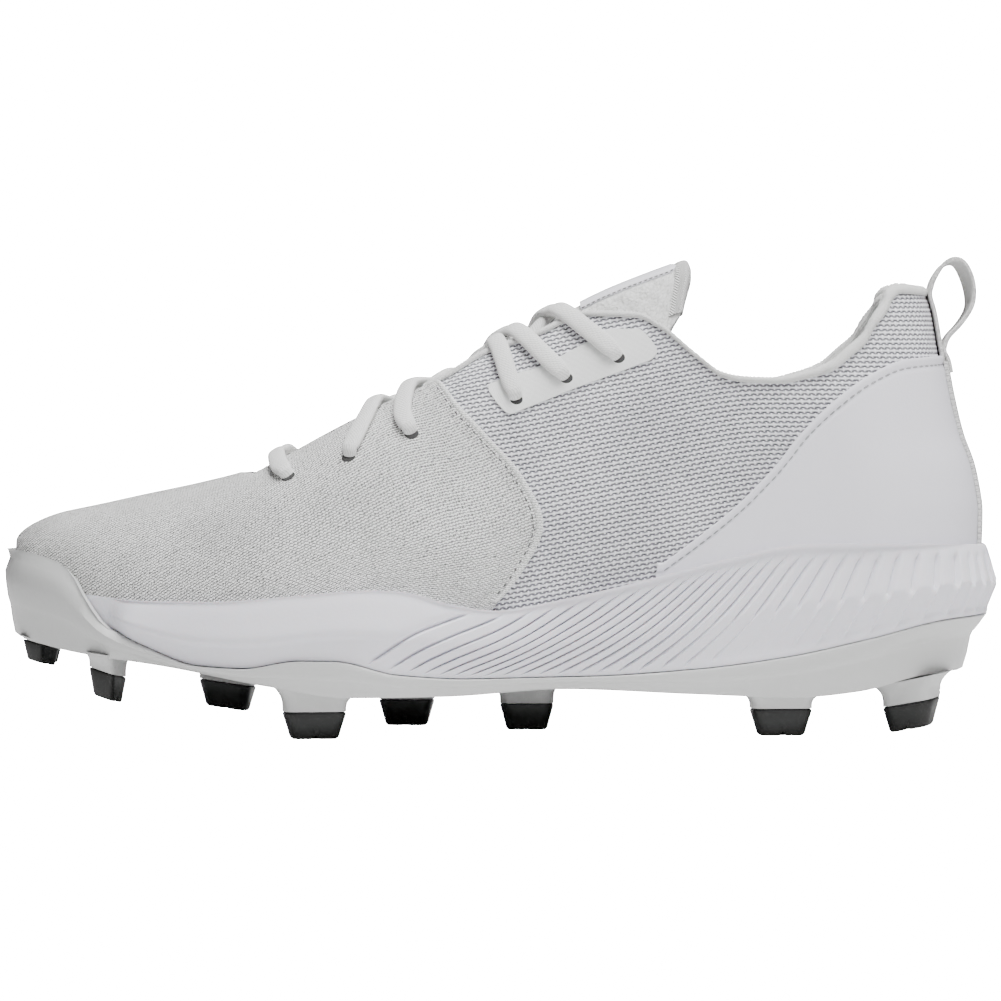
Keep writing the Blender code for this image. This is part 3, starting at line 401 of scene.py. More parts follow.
def last_height(share):
    full = BED + ridge_line(share) * INSTEP_RISE - feather(share)
    drop = 1 - np.minimum((1 - share) / NOSE_ROUND, 1.0)
    return full * (NOSE_HEIGHT + (1 - NOSE_HEIGHT) * np.sqrt(1 - drop * drop))


def last_point(share, turn):
    """A point of the last: turn is -1 at the outer feather, 0 on the ridge, 1 inside."""
    share, turn = np.broadcast_arrays(np.asarray(share, float), np.asarray(turn, float))
    angle = (1 - np.abs(turn)) * np.pi / 2
    level = np.clip(np.sin(angle), 0, 1) ** (2 / LAST_POWER)
    width = np.clip(np.cos(angle), 0, 1) ** (2 / LAST_POWER)
    width = width * (1 - TUCK * np.maximum(1 - level / TUCK_HEIGHT, 0.0) ** 2)
    z = feather(share) + last_height(share) * level
    half = plan_last(share) * BALL_WIDTH * closing(share) * width
    back = back_of_last(z)
    x = back - share * (back + HEEL_END - TOE_INSET)
    return stacked(x, plan_centre(share) * BALL_WIDTH + np.copysign(half, turn), z)


def turn_at(share, z, side):
    """The turn round the last at which it reaches a height."""
    level = np.clip((z - feather(share)) / last_height(share), 0.0, 1.0)
    return side * (1 - 2 * np.arcsin(level ** (LAST_POWER / 2)) / np.pi)


def unit(vectors):
    return vectors / np.maximum(np.linalg.norm(vectors, axis=-1, keepdims=True), 1e-12)


def side_normal(share, turn):
    step = 0.002
    a, b = np.clip(share, step, 1 - step), np.clip(turn, step - 1, 1 - step)
    along = last_point(a + step, b) - last_point(a - step, b)
    around = last_point(a, b + step) - last_point(a, b - step)
    return unit(np.cross(around, along))


def off_last(share, turn, offset):
    """A place over the last; where its two sides meet, both directions count."""
    share, turn, offset = np.broadcast_arrays(
        *(np.asarray(value, float) for value in (share, turn, offset)))
    normal = side_normal(share, turn)
    ends = ((share <= 0.0) | (share >= 1.0))[..., None]
    normal = np.where(ends, unit(normal + side_normal(share, -turn)), normal)
    return last_point(share, turn) + normal * offset[..., None]


def with_height(points, z):
    points = points.copy()
    points[..., 2] = z
    return points


def beside_last(share, side, height, offset):
    """A place beside the last at some height, also below its feather line."""
    point = off_last(share, turn_at(share, height, side), offset)
    return np.where((height < feather(share))[..., None], with_height(point, height), point)


PANEL_LIFT, PANEL_THICKNESS, CURVED_GAP = 0.0007, 0.0008, 0.0005
TOE_CLEAR = PANEL_LIFT + PANEL_THICKNESS + CURVED_GAP
HUG_ZONE = (0.865, 0.895)    # where the sole begins to follow the upper round the toe
BUMPER_ROW = 0.9             # row of the side from which the bumper leans on the toe
CREASE_ROW = 0.31            # row of the side at which its crease lies
CREASE_LEVEL = (             # where that crease runs up the side, along the shoe
    (0.00, 0.66), (0.15, 0.64), (0.30, 0.52), (0.45, 0.58), (0.60, 0.56), (0.75, 0.42),
    (0.90, 0.40), (1.00, 0.40),
)
crease_level = curve(CREASE_LEVEL)


def toe_hug(share):
    """How far foam and rim leave the plan to follow the upper round the toe."""
    return ease(share, *HUG_ZONE)


def plate_place(shares, sides, row):
    """One row round the plate's side, with its crease where the real one runs."""
    crease = crease_level(shares)
    level = np.where(row[0] < CREASE_ROW, row[0] / CREASE_ROW * crease,
                     crease + (row[0] - CREASE_ROW) / (1 - CREASE_ROW) * (1 - crease))
    height = blend(underside(shares) * SOLE_HEIGHT, rim_line(shares) * SOLE_HEIGHT, level)
    point = sole_point(shares, sides, shell_inset(shares, row), height)
    if row[0] < BUMPER_ROW:
        return point
    toe_place = beside_last(shares, sides, height, TOE_CLEAR + RIM_WALL)
    return blend(point, toe_place, (toe_hug(shares) * ease(row[0], BUMPER_ROW, 1.0))[..., None])


shares, sides = once_round(crowded(150))
rings = [plate_place(shares, sides, row) for row in SHELL_SIDE]
tray = blend(TRAY_INSET, HEEL_TRAY_INSET, at_heel(shares))
rim_height = rim_line(shares) * SOLE_HEIGHT
inner_rim = beside_last(shares, sides, rim_height - 0.0004, TOE_CLEAR)
flat_rim = sole_point(shares, sides, RIM_INSET + HEEL_RIM_TUCK * at_heel(shares), rim_height)
rings.append(blend(flat_rim, inner_rim, toe_hug(shares)[:, None]))
floor_height = underside(shares) * SOLE_HEIGHT + PLATE
rings.append(blend(sole_point(shares, sides, tray, floor_height),
                   with_height(off_last(shares, sides, TOE_CLEAR), floor_height),
                   toe_hug(shares)[:, None]))

# Dished field and cross ribs under the plate, between its outer and inner edges.
ACROSS = 16
DISH_DEPTH, CROSS_RIB, CROSS_RIB_PITCH = 0.0011, 0.0008, 0.0150
count = len(shares)
under, across = spanned(rings[0], ACROSS)
along = shares[:count // 2 + 1]
field = ease(across, 0.08, 0.16) * (1 - ease(across, 0.84, 0.92))
ends = ease(along, 0.03, 0.08) * (1 - ease(along, 0.90, 0.96))
ribs = 0.5 + 0.5 * np.cos(2 * np.pi * under[..., 0] / CROSS_RIB_PITCH)
under[..., 2] += field * ends[:, None] * (DISH_DEPTH - CROSS_RIB * ribs ** 6)
plate_points = np.concatenate(rings + [under.reshape(-1, 3)])
plate_faces = ring_faces(len(rings), count) + ladder((len(rings) - 1) * count, count)
plate_faces += grid_faces(len(rings) * count, count // 2, ACROSS)

STUD_LENGTH, STUD_WIDTH, STUD_HEIGHT = 0.0142, 0.0090, 0.0078
STUD_FLARE, BASE_FLARE, BASE_SPREAD, STUD_CLIP = 1.30, 1.92, 1.40, 0.30
CORNER_STEPS, BLADE_STEPS, BASE_STEPS = 4, 9, 11
STUDS = (                    # share, reach aside, length, width, turn, lift, height, slope
    (0.960, -0.42, 0.62, 0.62, 60, 0.360, 0.72, -0.28),
    (0.962, 0.42, 0.62, 0.62, -60, 0.360, 0.72, -0.28),
    (0.888, -0.76, 0.72, 0.68, 72, 0.190, 1.00, -0.34),
    (0.779, 0.70, 0.90, 1.00, -12, 0.084, 1.00, -0.14),
    (0.682, -0.78, 1.00, 1.00, 8, 0.000, 1.00, 0.00),
    (0.595, 0.74, 0.90, 1.00, -6, 0.000, 1.00, 0.00),
    (0.473, 0.30, 0.88, 1.00, 0, 0.000, 1.00, 0.00),
    (0.222, -0.72, 0.98, 1.00, 6, 0.000, 1.00, 0.00),
    (0.214, 0.72, 0.98, 1.00, -6, 0.000, 1.00, 0.00),
    (0.091, -0.62, 0.86, 1.00, -24, 0.028, 1.00, 0.20),
    (0.081, 0.62, 0.86, 1.00, 24, 0.028, 1.00, 0.20),
)


def stud_outline(stud, long, wide):
    """One rounded outline of a stud, level, with its places along the blade."""
    share, reach, length, width, turn = stud[:5]
    edge = sole_point(share, 1, shell_inset(share, SHELL_SIDE[0]), 0.0)[1]
    middle = plan_centre(share) * BALL_WIDTH
    half_l, half_w = length * STUD_LENGTH / 2 * long, width * STUD_WIDTH / 2 * wide
    radius = STUD_CLIP * width * STUD_WIDTH * min(long, wide)
    turn = math.radians(turn)
    blade = []
    for sx, sy, begin in ((1, 1, 0), (-1, 1, 90), (-1, -1, 180), (1, -1, 270)):
        for step in range(CORNER_STEPS + 1):
            angle = math.radians(begin + 90 * step / CORNER_STEPS)
            blade.append((sx * (half_l - radius) + radius * math.cos(angle),
                          sy * (half_w - radius) + radius * math.sin(angle)))
        if begin in (0, 180):
            for u in np.linspace(1, -1, BLADE_STEPS + 2)[1:-1]:
                blade.append((sx * u * (half_l - radius), sy * half_w))
    u, v = np.array(blade).T
    points = np.stack([HEEL_END - share * LENGTH + u * math.cos(turn) - v * math.sin(turn),
                       middle + reach * (edge - middle) + u * math.sin(turn) + v * math.cos(turn),
                       0 * u], axis=-1)
    return points, u / half_l


def stud_level(stud, points, height):
    """Puts an outline at a height, sloped along the shoe as that stud is."""
    centre = HEEL_END - stud[0] * LENGTH
    return with_height(points, height + stud[7] * (points[:, 0] - centre))


def closed_stack(outlines):
    """Points and faces of rings with a flat face at either end."""
    return np.concatenate(outlines), tube_faces(len(outlines), len(outlines[0]))


bases = []
for stud in STUDS:
    head = stud[5] * SOLE_HEIGHT + stud[6] * STUD_HEIGHT + GAP
    outlines = []
    for t in np.linspace(0, 1, BASE_STEPS):
        outline, _ = stud_outline(stud, blend(STUD_FLARE, BASE_FLARE, t ** 2.6),
                                  blend(STUD_FLARE, BASE_SPREAD, t ** 2))
        low = stud_level(stud, outline, head)[:, 2]
        root = underside((HEEL_END - outline[:, 0]) / LENGTH) * SOLE_HEIGHT + PLATE / 2
        height = blend(low, np.maximum(root, low + 0.001), t ** 0.8)
        outlines.append(with_height(outline, height))
    bases.append(closed_stack(outlines))


def shader_group(name, inputs, outputs):
    """An empty node group with number sockets, and its entry and exit."""
    group = bpy.data.node_groups.new(name, "ShaderNodeTree")
    for labels, way in ((inputs, "INPUT"), (outputs, "OUTPUT")):
        for label in labels:
            group.interface.new_socket(label, in_out=way, socket_type="NodeSocketFloat")
    return group, group.nodes.new("NodeGroupInput"), group.nodes.new("NodeGroupOutput")


# Fine moulded grain, used by the plate, the foam, the studs and the smooth overlays.
moulded, entry, leave = shader_group("moulded_grain", ("Grain Size",), ("Height", "Tone"))
spot = add(moulded, "ShaderNodeTexCoord").outputs["Object"]
finest = maths(moulded, "DIVIDE", 1.0, entry.outputs["Grain Size"])
fine = add(moulded, "ShaderNodeTexNoise", {"Vector": spot, "Scale": finest, "Detail": 3.0})
broad = add(moulded, "ShaderNodeTexNoise", {"Vector": spot, "Scale": 22.0, "Detail": 2.0})
moulded.links.new(fine.outputs["Fac"], leave.inputs["Height"])
moulded.links.new(broad.outputs["Fac"], leave.inputs["Tone"])


def grained(name, roughness, dark, light, grain, depth, **plain):
    """A moulded or coated material: soft change of tone, and a fine grain."""
    made, tree, shader = finish(name, roughness, **plain)
    group = add(tree, "ShaderNodeGroup", node_tree=moulded)
    group.inputs["Grain Size"].default_value = grain
    tree.links.new(tone(tree, group.outputs["Tone"], dark, light), shader.inputs["Base Color"])
    worn = maths(tree, "MULTIPLY_ADD", group.outputs["Height"], 0.12, roughness - 0.06)
    tree.links.new(worn, shader.inputs["Roughness"])
    bump(tree, shader, group.outputs["Height"], depth)
    return made


plate_finish = grained("moulded_plate", 0.40, (0.49, 0.495, 0.49), (0.53, 0.535, 0.53),
                       0.0016, 0.00004, Coat_Weight=0.15, Coat_Roughness=0.3)
piece("plate", plate_points, plate_faces, plate_finish, "plate", ["outsole"], weld=True)
piece("stud_bases", *joined(bases), plate_finish, "plate", ["outsole"], sharp=50)

# ---- Stud tips
# Eleven black blades of hard plastic, each pressed over its base, tapered to the
# ground with rounded corners and a shallow notch across the foot.
tip_finish = grained("black_tip", 0.38, (0.006, 0.006, 0.006), (0.010, 0.010, 0.0095),
                     0.0012, 0.00003, Specular_IOR_Level=0.35)
NOTCH, NOTCH_REACH = 0.0011, 0.10
TIP_STEPS = (                # level up the blade, its width there against the foot's
    (0.00, 0.60), (0.00, 0.90), (0.04, 0.96), (0.10, 1.01), (0.50, 1.14), (0.93, 1.29),
    (1.00, 1.27),
)
for number, stud in enumerate(STUDS, 1):
    foot, tall = stud[5] * SOLE_HEIGHT, stud[6] * STUD_HEIGHT
    outlines = []
    for level, scale in TIP_STEPS:
        outline, along = stud_outline(stud, scale, scale)
        notch = NOTCH * np.exp(-(along / NOTCH_REACH) ** 2) * (1 - ease(level, 0.0, 0.2))
        outlines.append(stud_level(stud, outline, foot + level * tall + notch))
    piece(f"stud_{number:02d}", *closed_stack(outlines), tip_finish, "stud",
          [f"stud_tip_{number:02d}"])

# ---- Midsole
# One wedge of white foam that carries the foot: a smooth rolled top edge, a ridge
# round the heel, and a fan of pleats moulded into its side. It is cemented in the tray.
TOE_LIP, FOAM_RIM = 0.0008, 0.0030
LIP_CLEAR = CURVED_GAP + TOE_LIP
RIB_DEPTH = 0.0018
FAN = (                      # column, its start on the rim, its end on the top edge
    (0, 0.000, 0.000), (2, 0.008, 0.006), (4, 0.028, 0.020), (16, 0.190, 0.130),
    (28, 0.344, 0.217), (44, 0.504, 0.327), (60, 0.635, 0.520), (64, 0.705, 0.630),
    (70, 0.815, 0.805), (73, 0.870, 0.870), (76, 0.916, 0.916), (80, 0.965, 0.965),
    (84, 0.994, 0.994), (85, 1.000, 1.000),
)
fan_low, fan_high = curve(FAN, 1), curve(FAN, 2)
FIRST_PLEAT, LAST_PLEAT = 5, 61
PLEAT_PLACES = 12            # columns of points to one pleat
LEAST_FOAM, FOAM_INSET = 0.0035, 0.0052
GROOVE_WIDTH, RIDGE_WIDTH = 0.085, 0.10
WAIST_STEP = 0.0006          # the smooth front stands back by this above its foot
FOAM_SIDE = (                # level, inset, tuck under at the heel
    (0.00, 0.0022, 0.0012), (0.10, 0.0016, 0.0010), (0.25, 0.0008, 0.0006), (0.40, 0.0001, 0.0001),
    (0.44, 0.0000, 0.0000), (0.48, 0.0001, 0.0001), (0.62, 0.0007, 0.0004), (0.84, 0.0018, 0.0006),
    (1.00, 0.0030, 0.0008),
)
foam_inset, foam_tuck = curve(FOAM_SIDE, 1), curve(FOAM_SIDE, 2)
fan_places = (LAST_PLEAT - FIRST_PLEAT) // 2 * PLEAT_PLACES
columns = np.concatenate([np.linspace(0, FIRST_PLEAT, 48, endpoint=False),
                          np.linspace(FIRST_PLEAT, LAST_PLEAT, fan_places, endpoint=False),
                          np.linspace(LAST_PLEAT, FAN[-1][0], 70)])
column, sides = once_round(columns)
pleat_phase = np.where(column < FIRST_PLEAT, FIRST_PLEAT - (FIRST_PLEAT - column) * 1.7, column)
share_low, share_high = fan_low(column), fan_high(column)
rim_base = np.minimum(rim_line(share_low) * SOLE_HEIGHT + GAP,
                      foam_top(share_low) * SOLE_HEIGHT - LEAST_FOAM)


def pleat(phase, level, share):
    """How far the foam's side is cut in, by place in a pleat and level up the side."""
    part = np.mod(phase / 2, 1.0)
    edge = np.minimum(part, 1 - part)
    groove = np.exp(-(edge / GROOVE_WIDTH) ** 2)
    slat = 0.55 * (1 - part) ** 1.5
    heel = 1 - ease(share, 0.16, 0.40)
    above = ease(level, 0.42, 0.50)
    ridge = 1 - 0.9 * np.exp(-(edge / RIDGE_WIDTH) ** 2)
    cut = blend(groove + 0.25 * (1 - part), blend(ridge * 0.55, slat + 0.3 * groove, above), heel)
    reach = ease(level, 0.02, 0.12) * (1 - ease(level, 0.80, 0.93))
    end = 1 - ease(phase, LAST_PLEAT - 0.6, LAST_PLEAT)
    return cut * reach * end


def foam_place(level):
    share = blend(share_low, share_high, level)
    height = blend(rim_base, foam_top(share) * SOLE_HEIGHT, level)
    heel = 1 - ease(share, 0.02, 0.24)
    inset = foam_inset(level) + foam_tuck(level) * heel
    inset = inset + RIB_DEPTH * pleat(pleat_phase, level, share)
    step = ease(share, 0.55, 0.62) * (1 - ease(share, 0.80, 0.88))
    inset = inset + WAIST_STEP * step * (1 - ease(level, 0.30, 0.36))
    point = sole_point(share, sides, inset, height)
    hug = toe_hug(share)[:, None]
    return blend(point, beside_last(share, sides, height, LIP_CLEAR), hug)


def foam_edge(share, side):
    """Turn and height at which the last passes the foam's top edge."""
    turn = side * np.ones_like(share)
    for _ in range(4):
        place = (HEEL_END - last_point(share, turn)[..., 0]) / LENGTH
        height = foam_top(place) * SOLE_HEIGHT
        turn = turn_at(share, height, side)
    return turn, height


def foam_lip(offset, drop):
    foam = blend(offset, np.minimum(offset, LIP_CLEAR), toe_hug(share_high))
    turn, z = foam_edge(share_high, sides)
    return with_height(off_last(share_high, turn, foam), z - drop)


tray_in = blend(TRAY_INSET, HEEL_TRAY_INSET, at_heel(share_low)) + 4 * GAP
tray_height = underside(share_low) * SOLE_HEIGHT + PLATE + GAP
hug = toe_hug(share_low)[:, None]
foam_rings = [blend(sole_point(share_low, sides, tray_in, tray_height),
                    with_height(off_last(share_low, sides, LIP_CLEAR), tray_height), hug),
              blend(sole_point(share_low, sides, FOAM_INSET, rim_base),
                    beside_last(share_low, sides, rim_base, LIP_CLEAR), hug)]
foam_rings += [foam_place(level) for level in [*np.linspace(0, 0.84, 25), 0.89, 0.93]]
shoulder, crown = foam_place(0.93), foam_lip(CURVED_GAP + FOAM_RIM, 0.0)
over = foam_place(0.985)
over = with_height(over, np.maximum(over[:, 2], crown[:, 2] - 0.0003))
for t in (0.3, 0.55, 0.8, 1.0):
    foam_rings.append(shoulder * (1 - t) ** 2 + over * 2 * t * (1 - t) + crown * t * t)
foam_rings += [foam_lip(CURVED_GAP + 0.0012, 0.0001), foam_lip(0.0002, 0.0006)]
foam_rings.append(with_height(off_last(share_high, sides, 2 * GAP),
                              footbed(share_high) * SOLE_HEIGHT))
points = np.concatenate(foam_rings)
count = len(column)
faces = ring_faces(len(foam_rings), count) + ladder(0, count)
faces += ladder((len(foam_rings) - 1) * count, count)
foam_finish = grained("white_foam", 0.58, (0.70, 0.69, 0.745), (0.745, 0.735, 0.785),
                      0.0011, 0.00005, Subsurface_Weight=0.08, Subsurface_Scale=0.002)
piece("foam", points, faces, foam_finish, "foam", ["midsole"], sharp=35, weld=True)

# ---- Upper
# One lasted shell of raised mesh, cemented into the foam: heel, quarters and toe in
# one wall, lined inside, and open at the collar and down the throat.
WALL = 0.0021
THROAT_FRONT = 0.745
TOPLINE = (                  # share of the length, share of the collar's rise
    (0.000, 0.972), (0.030, 0.979), (0.045, 0.955), (0.054, 0.918), (0.070, 0.868),
    (0.084, 0.810), (0.100, 0.773), (0.126, 0.717), (0.155, 0.690), (0.182, 0.674),
    (0.216, 0.677), (0.240, 0.692), (0.265, 0.753), (0.300, 0.852), (0.325, 0.890),
    (0.375, 0.895), (0.437, 0.824), (0.488, 0.770), (0.537, 0.684), (0.565, 0.645),
    (0.590, 0.613), (0.617, 0.572), (0.650, 0.522), (0.700, 0.441), (0.745, 0.366),
)
topline = curve(TOPLINE)
THROAT_ROUND, THROAT_FADE = 0.016, 0.12  # the throat's end: its round, how far that is felt
HEEL_PLACES, QUARTER_PLACES, FRONT_PLACES = 26, 96, 44


def edge_turn(share):
    """Turn of the topline and throat edge; ahead of the throat it runs on level."""
    share = np.minimum(share, THROAT_FRONT)
    return -turn_at(share, BED + topline(share) * COLLAR_RISE, -1.0)


def round_heel(count):
    """Shares round the heel, evenly spread over its curve."""
    return HEEL_ROUND * (1 - np.cos(np.linspace(0, np.pi / 2, count, endpoint=False)))


def shell(outer, inner, cells=None, folded=()):
    """Points and faces of a sheet with thickness; a folded column's sides meet."""
    columns, rows = outer.shape[:2]
    cells = np.ones((columns - 1, rows - 1), bool) if cells is None else cells
    number = np.arange(columns * rows).reshape(columns, rows)
    for column in folded:
        number[column] = np.minimum(number[column], number[column][::-1])
    count = columns * rows
    faces, edges = [], set()
    for i, j in zip(*np.nonzero(cells)):
        corners = [number[i, j], number[i + 1, j], number[i + 1, j + 1], number[i, j + 1]]
        corners = [int(corner) for corner in dict.fromkeys(corners)]
        faces.append(tuple(corners))
        faces.append(tuple(corner + count for corner in reversed(corners)))
        edges.update(zip(corners, corners[1:] + corners[:1]))
    faces += [(b, a, a + count, b + count) for a, b in edges if (b, a) not in edges]
    return np.concatenate([outer.reshape(-1, 3), inner.reshape(-1, 3)]), faces


def run(points, axis):
    """Distance gone along a grid of points, in metres."""
    steps = np.linalg.norm(np.diff(points, axis=axis), axis=-1)
    zero = np.zeros_like(np.take(steps, [0], axis=axis))
    return np.cumsum(np.concatenate([zero, steps], axis=axis), axis=axis)


def cloth_over(outer, mirrored=True):
    """Cloth measure of a grid: along the shoe, and up its side from the edge."""
    up = run(outer, 1)
    if mirrored:
        up = np.minimum(up, up[:, -1:] - up)
    along = np.broadcast_to(run(outer[:, :1], 0)[:, :1], up.shape)
    flat = np.stack([along, up], axis=-1)
    return np.concatenate([flat.reshape(-1, 2)] * 2)


def crown_shift(share, row):
    """Rounds the end of the throat: the ridge starts further forward than its edge."""
    inward = np.clip(row - 1, 0, 1)
    near = np.clip(1 - (share - THROAT_FRONT) / THROAT_FADE, 0, 1) * (share >= THROAT_FRONT)
    return THROAT_ROUND * near * np.sqrt(1 - (1 - inward) ** 2)


def open_behind(grid, columns):
    """Cells of a grid, with the throat left open over its first columns."""
    cells = np.ones((grid.shape[0] - 1, grid.shape[1] - 1), bool)
    cells[:columns, SIDE_ROWS:grid.shape[1] - 1 - SIDE_ROWS] = False
    return cells


SIDE_ROWS, CROWN_ROWS = 34, 14
one_side = np.concatenate([np.linspace(0, 1, SIDE_ROWS, endpoint=False),
                           np.linspace(1, 2, CROWN_ROWS + 1)])
upper_rows = np.concatenate([one_side, one_side[-2::-1]])
upper_sides = np.concatenate([-np.ones(len(one_side)), np.ones(len(one_side) - 1)])
upper_shares = np.concatenate([
    round_heel(HEEL_PLACES), np.linspace(HEEL_ROUND, THROAT_FRONT, QUARTER_PLACES, endpoint=False),
    THROAT_FRONT + (1 - THROAT_FRONT) * np.sin(np.linspace(0, np.pi / 2, FRONT_PLACES))])
share_grid, row_grid = np.meshgrid(upper_shares, upper_rows, indexing="ij")
edge = edge_turn(share_grid)
turn_grid = np.where(row_grid <= 1, blend(1.0, edge, row_grid), edge * (2 - row_grid))
turn_grid = turn_grid * upper_sides
share_grid = share_grid + crown_shift(share_grid, row_grid)
outer = last_point(share_grid, turn_grid)
inner = off_last(share_grid, turn_grid, -WALL)
inner[:, [0, -1], 2] = feather(share_grid[:, [0, -1]])
points, faces = shell(outer, inner, open_behind(outer, HEEL_PLACES + QUARTER_PLACES), (0, -1))

# Raised floats in rows that step by half their length, used by every woven piece. Its Tone output
# paints shade into the pits between the floats.
woven, entry, leave = shader_group(
    "woven_floats", ("Float Length", "Row Height", "Unevenness"), ("Height", "Tone"))
place = add(woven, "ShaderNodeAttribute", attribute_name="cloth")
flat = add(woven, "ShaderNodeSeparateXYZ", {0: place.outputs["Vector"]})
stray = add(woven, "ShaderNodeTexNoise", {"Vector": place.outputs["Vector"], "Scale": 850.0})
lift = maths(woven, "MULTIPLY", maths(woven, "SUBTRACT", stray.outputs["Fac"], 0.5),
             entry.outputs["Unevenness"])
row = maths(woven, "DIVIDE", flat.outputs["Y"], entry.outputs["Row Height"])
row = maths(woven, "ADD", row, lift)
step = maths(woven, "MULTIPLY", maths(woven, "FLOOR", row), 0.5)
length = maths(woven, "DIVIDE", flat.outputs["X"], entry.outputs["Float Length"])
length = maths(woven, "ADD", maths(woven, "ADD", length, step), lift)


def rounded(value, power):
    """A rounded hump between whole numbers of a value."""
    part = maths(woven, "SUBTRACT", maths(woven, "FRACT", value), 0.5)
    far = maths(woven, "MULTIPLY", maths(woven, "ABSOLUTE", part), 2.0)
    return maths(woven, "SUBTRACT", 1.0, maths(woven, "POWER", far, power), clamp=True)


dash, hump = rounded(length, 1.8), rounded(row, 1.2)
pit = maths(woven, "MULTIPLY", dash, maths(woven, "SUBTRACT", 1.0, hump))
raised = maths(woven, "SUBTRACT", 1.0, pit, clamp=True)
woven.links.new(maths(woven, "POWER", raised, 0.7), leave.inputs["Height"])
# Tone darkens the pits between the floats: painted shade, not a colour of the yarn.
woven.links.new(maths(woven, "POWER", raised, 2.6), leave.inputs["Tone"])


def weave(name, roughness, pit_shade, thread, length, height, uneven, depth, **plain):
    """A woven or knitted material: raised floats, with painted shade in the darker pits between
    them; the first colour is that painted shade.
    """
    made, tree, shader = finish(name, roughness, **plain)
    group = add(tree, "ShaderNodeGroup", node_tree=woven)
    for label, value in (("Float Length", length), ("Row Height", height), ("Unevenness", uneven)):
        group.inputs[label].default_value = value
    spot = add(tree, "ShaderNodeTexCoord").outputs["Object"]
    fleck = add(tree, "ShaderNodeTexNoise", {"Vector": spot, "Scale": 900.0, "Detail": 2.0})
    drift = add(tree, "ShaderNodeTexNoise", {"Vector": spot, "Scale": 30.0})
    mottle = maths(tree, "MULTIPLY", maths(tree, "MULTIPLY_ADD", fleck.outputs["Fac"], 0.5, 0.62),
                   maths(tree, "ADD", drift.outputs["Fac"], 0.62))
    factor = maths(tree, "MULTIPLY", group.outputs["Tone"], mottle, clamp=True)
    tree.links.new(tone(tree, factor, pit_shade, thread), shader.inputs["Base Color"])
    rough = maths(tree, "MULTIPLY_ADD", group.outputs["Tone"], -0.08, roughness + 0.04)
    tree.links.new(rough, shader.inputs["Roughness"])
    bump(tree, shader, group.outputs["Height"], depth)
    return made


# The first colour of each weave is painted shade in the pits between its floats.
mesh_finish = weave("raised_mesh", 0.72, (0.06, 0.06, 0.075), (0.93, 0.93, 0.97),
                    0.0022, 0.0014, 0.30, 0.00060)
piece("quarters", points, faces, mesh_finish, "mesh", ["upper"], cloth=cloth_over(outer), sharp=50)

# ---- Forefoot overlay
# A panel of fine grey weave over the toe and the lower eyelets. It is stitched down
# behind a bowed rear edge and along the throat, and its foot goes into the foam.
PANEL_REAR = (               # row from the foam to the throat, share of the length
    (0.00, 0.503), (0.10, 0.470), (0.22, 0.451), (0.36, 0.466),
    (0.55, 0.498), (0.76, 0.525), (1.00, 0.543),
)
panel_rear = curve(PANEL_REAR)
PANEL_OVER, PANEL_UNDER = 0.0012, 0.00012  # how far its face and back stand off the last
THROAT_BACK = 0.006          # turn by which it stays back from the throat's edge
LEAD, PANEL_PLACES = 64, 56  # columns behind and ahead of the throat's end
PANEL_START = THROAT_FRONT + 0.004
FOAM_OVERLAP = 0.0010
EDGE_ROLL = (0.00035, 1.6, 1.6)  # height, then place and spread in columns from the rear
SEAM_GROOVE = (-0.0005, 4.6, 0.7)


def foam_line_turn(share, side):
    """Turn just under the foam's edge, where the overlays go in."""
    return turn_at(share, foam_edge(share, side)[1] - FOAM_OVERLAP, side)


front_shares = PANEL_START + (1 - PANEL_START) * np.sin(np.linspace(0, np.pi / 2, PANEL_PLACES))
panel_share = np.zeros((LEAD + len(front_shares), len(upper_rows)))
height = np.minimum(upper_rows, 1.0)
for i in range(LEAD):
    panel_share[i] = blend(panel_rear(height), front_shares[0], i / LEAD)
panel_share[LEAD:] = front_shares[:, None]
edge = edge_turn(panel_share)
foot = np.abs(foam_line_turn(panel_share, np.broadcast_to(upper_sides, panel_share.shape)))
panel_turn = np.where(upper_rows <= 1, blend(foot, edge + THROAT_BACK, upper_rows),
                      edge * (2 - upper_rows)) * upper_sides
panel_share = panel_share + crown_shift(panel_share, upper_rows)
columns_in = np.arange(len(panel_share))[:, None]
rim = 0.62 + 0.38 * ease(columns_in, 0, 5)
at_throat = np.exp(-((upper_rows - 1.0) / 0.035) ** 2) * (panel_share < THROAT_FRONT + 0.01)
fold = sum(lift * np.exp(-((columns_in - place) / spread) ** 2)
           for lift, place, spread in (EDGE_ROLL, SEAM_GROOVE))
over = PANEL_OVER * rim * (1 - 0.45 * at_throat) + fold * (upper_rows < 1.0)
outer = off_last(panel_share, panel_turn, over)
inner = off_last(panel_share, panel_turn, PANEL_UNDER)
points, faces = shell(outer, inner, open_behind(outer, LEAD), (-1,))
vamp_finish = weave("fine_weave", 0.80, (0.10, 0.10, 0.098), (0.92, 0.92, 0.91),
                    0.00110, 0.00080, 1.2, 0.00030)
WEAVE_TURN = math.radians(32)
slant = np.array([[math.cos(WEAVE_TURN), math.sin(WEAVE_TURN)],
                  [-math.sin(WEAVE_TURN), math.cos(WEAVE_TURN)]])
piece("vamp", points, faces, vamp_finish, "woven", ["vamp_panel"],
      cloth=cloth_over(outer) @ slant, sharp=50)


def on_grid(grid, columns, rows):
    """Places between the points of a grid."""
    i, j = np.floor(columns).astype(int), np.floor(rows).astype(int)
    i, j = np.clip(i, 0, grid.shape[0] - 2), np.clip(j, 0, grid.shape[1] - 2)
    u, v = (columns - i)[:, None], (rows - j)[:, None]
    return (grid[i, j] * (1 - u) * (1 - v) + grid[i + 1, j] * u * (1 - v)
            + grid[i, j + 1] * (1 - u) * v + grid[i + 1, j + 1] * u * v)


BEAD_RINGS, BEAD_SIDES = 5, 6


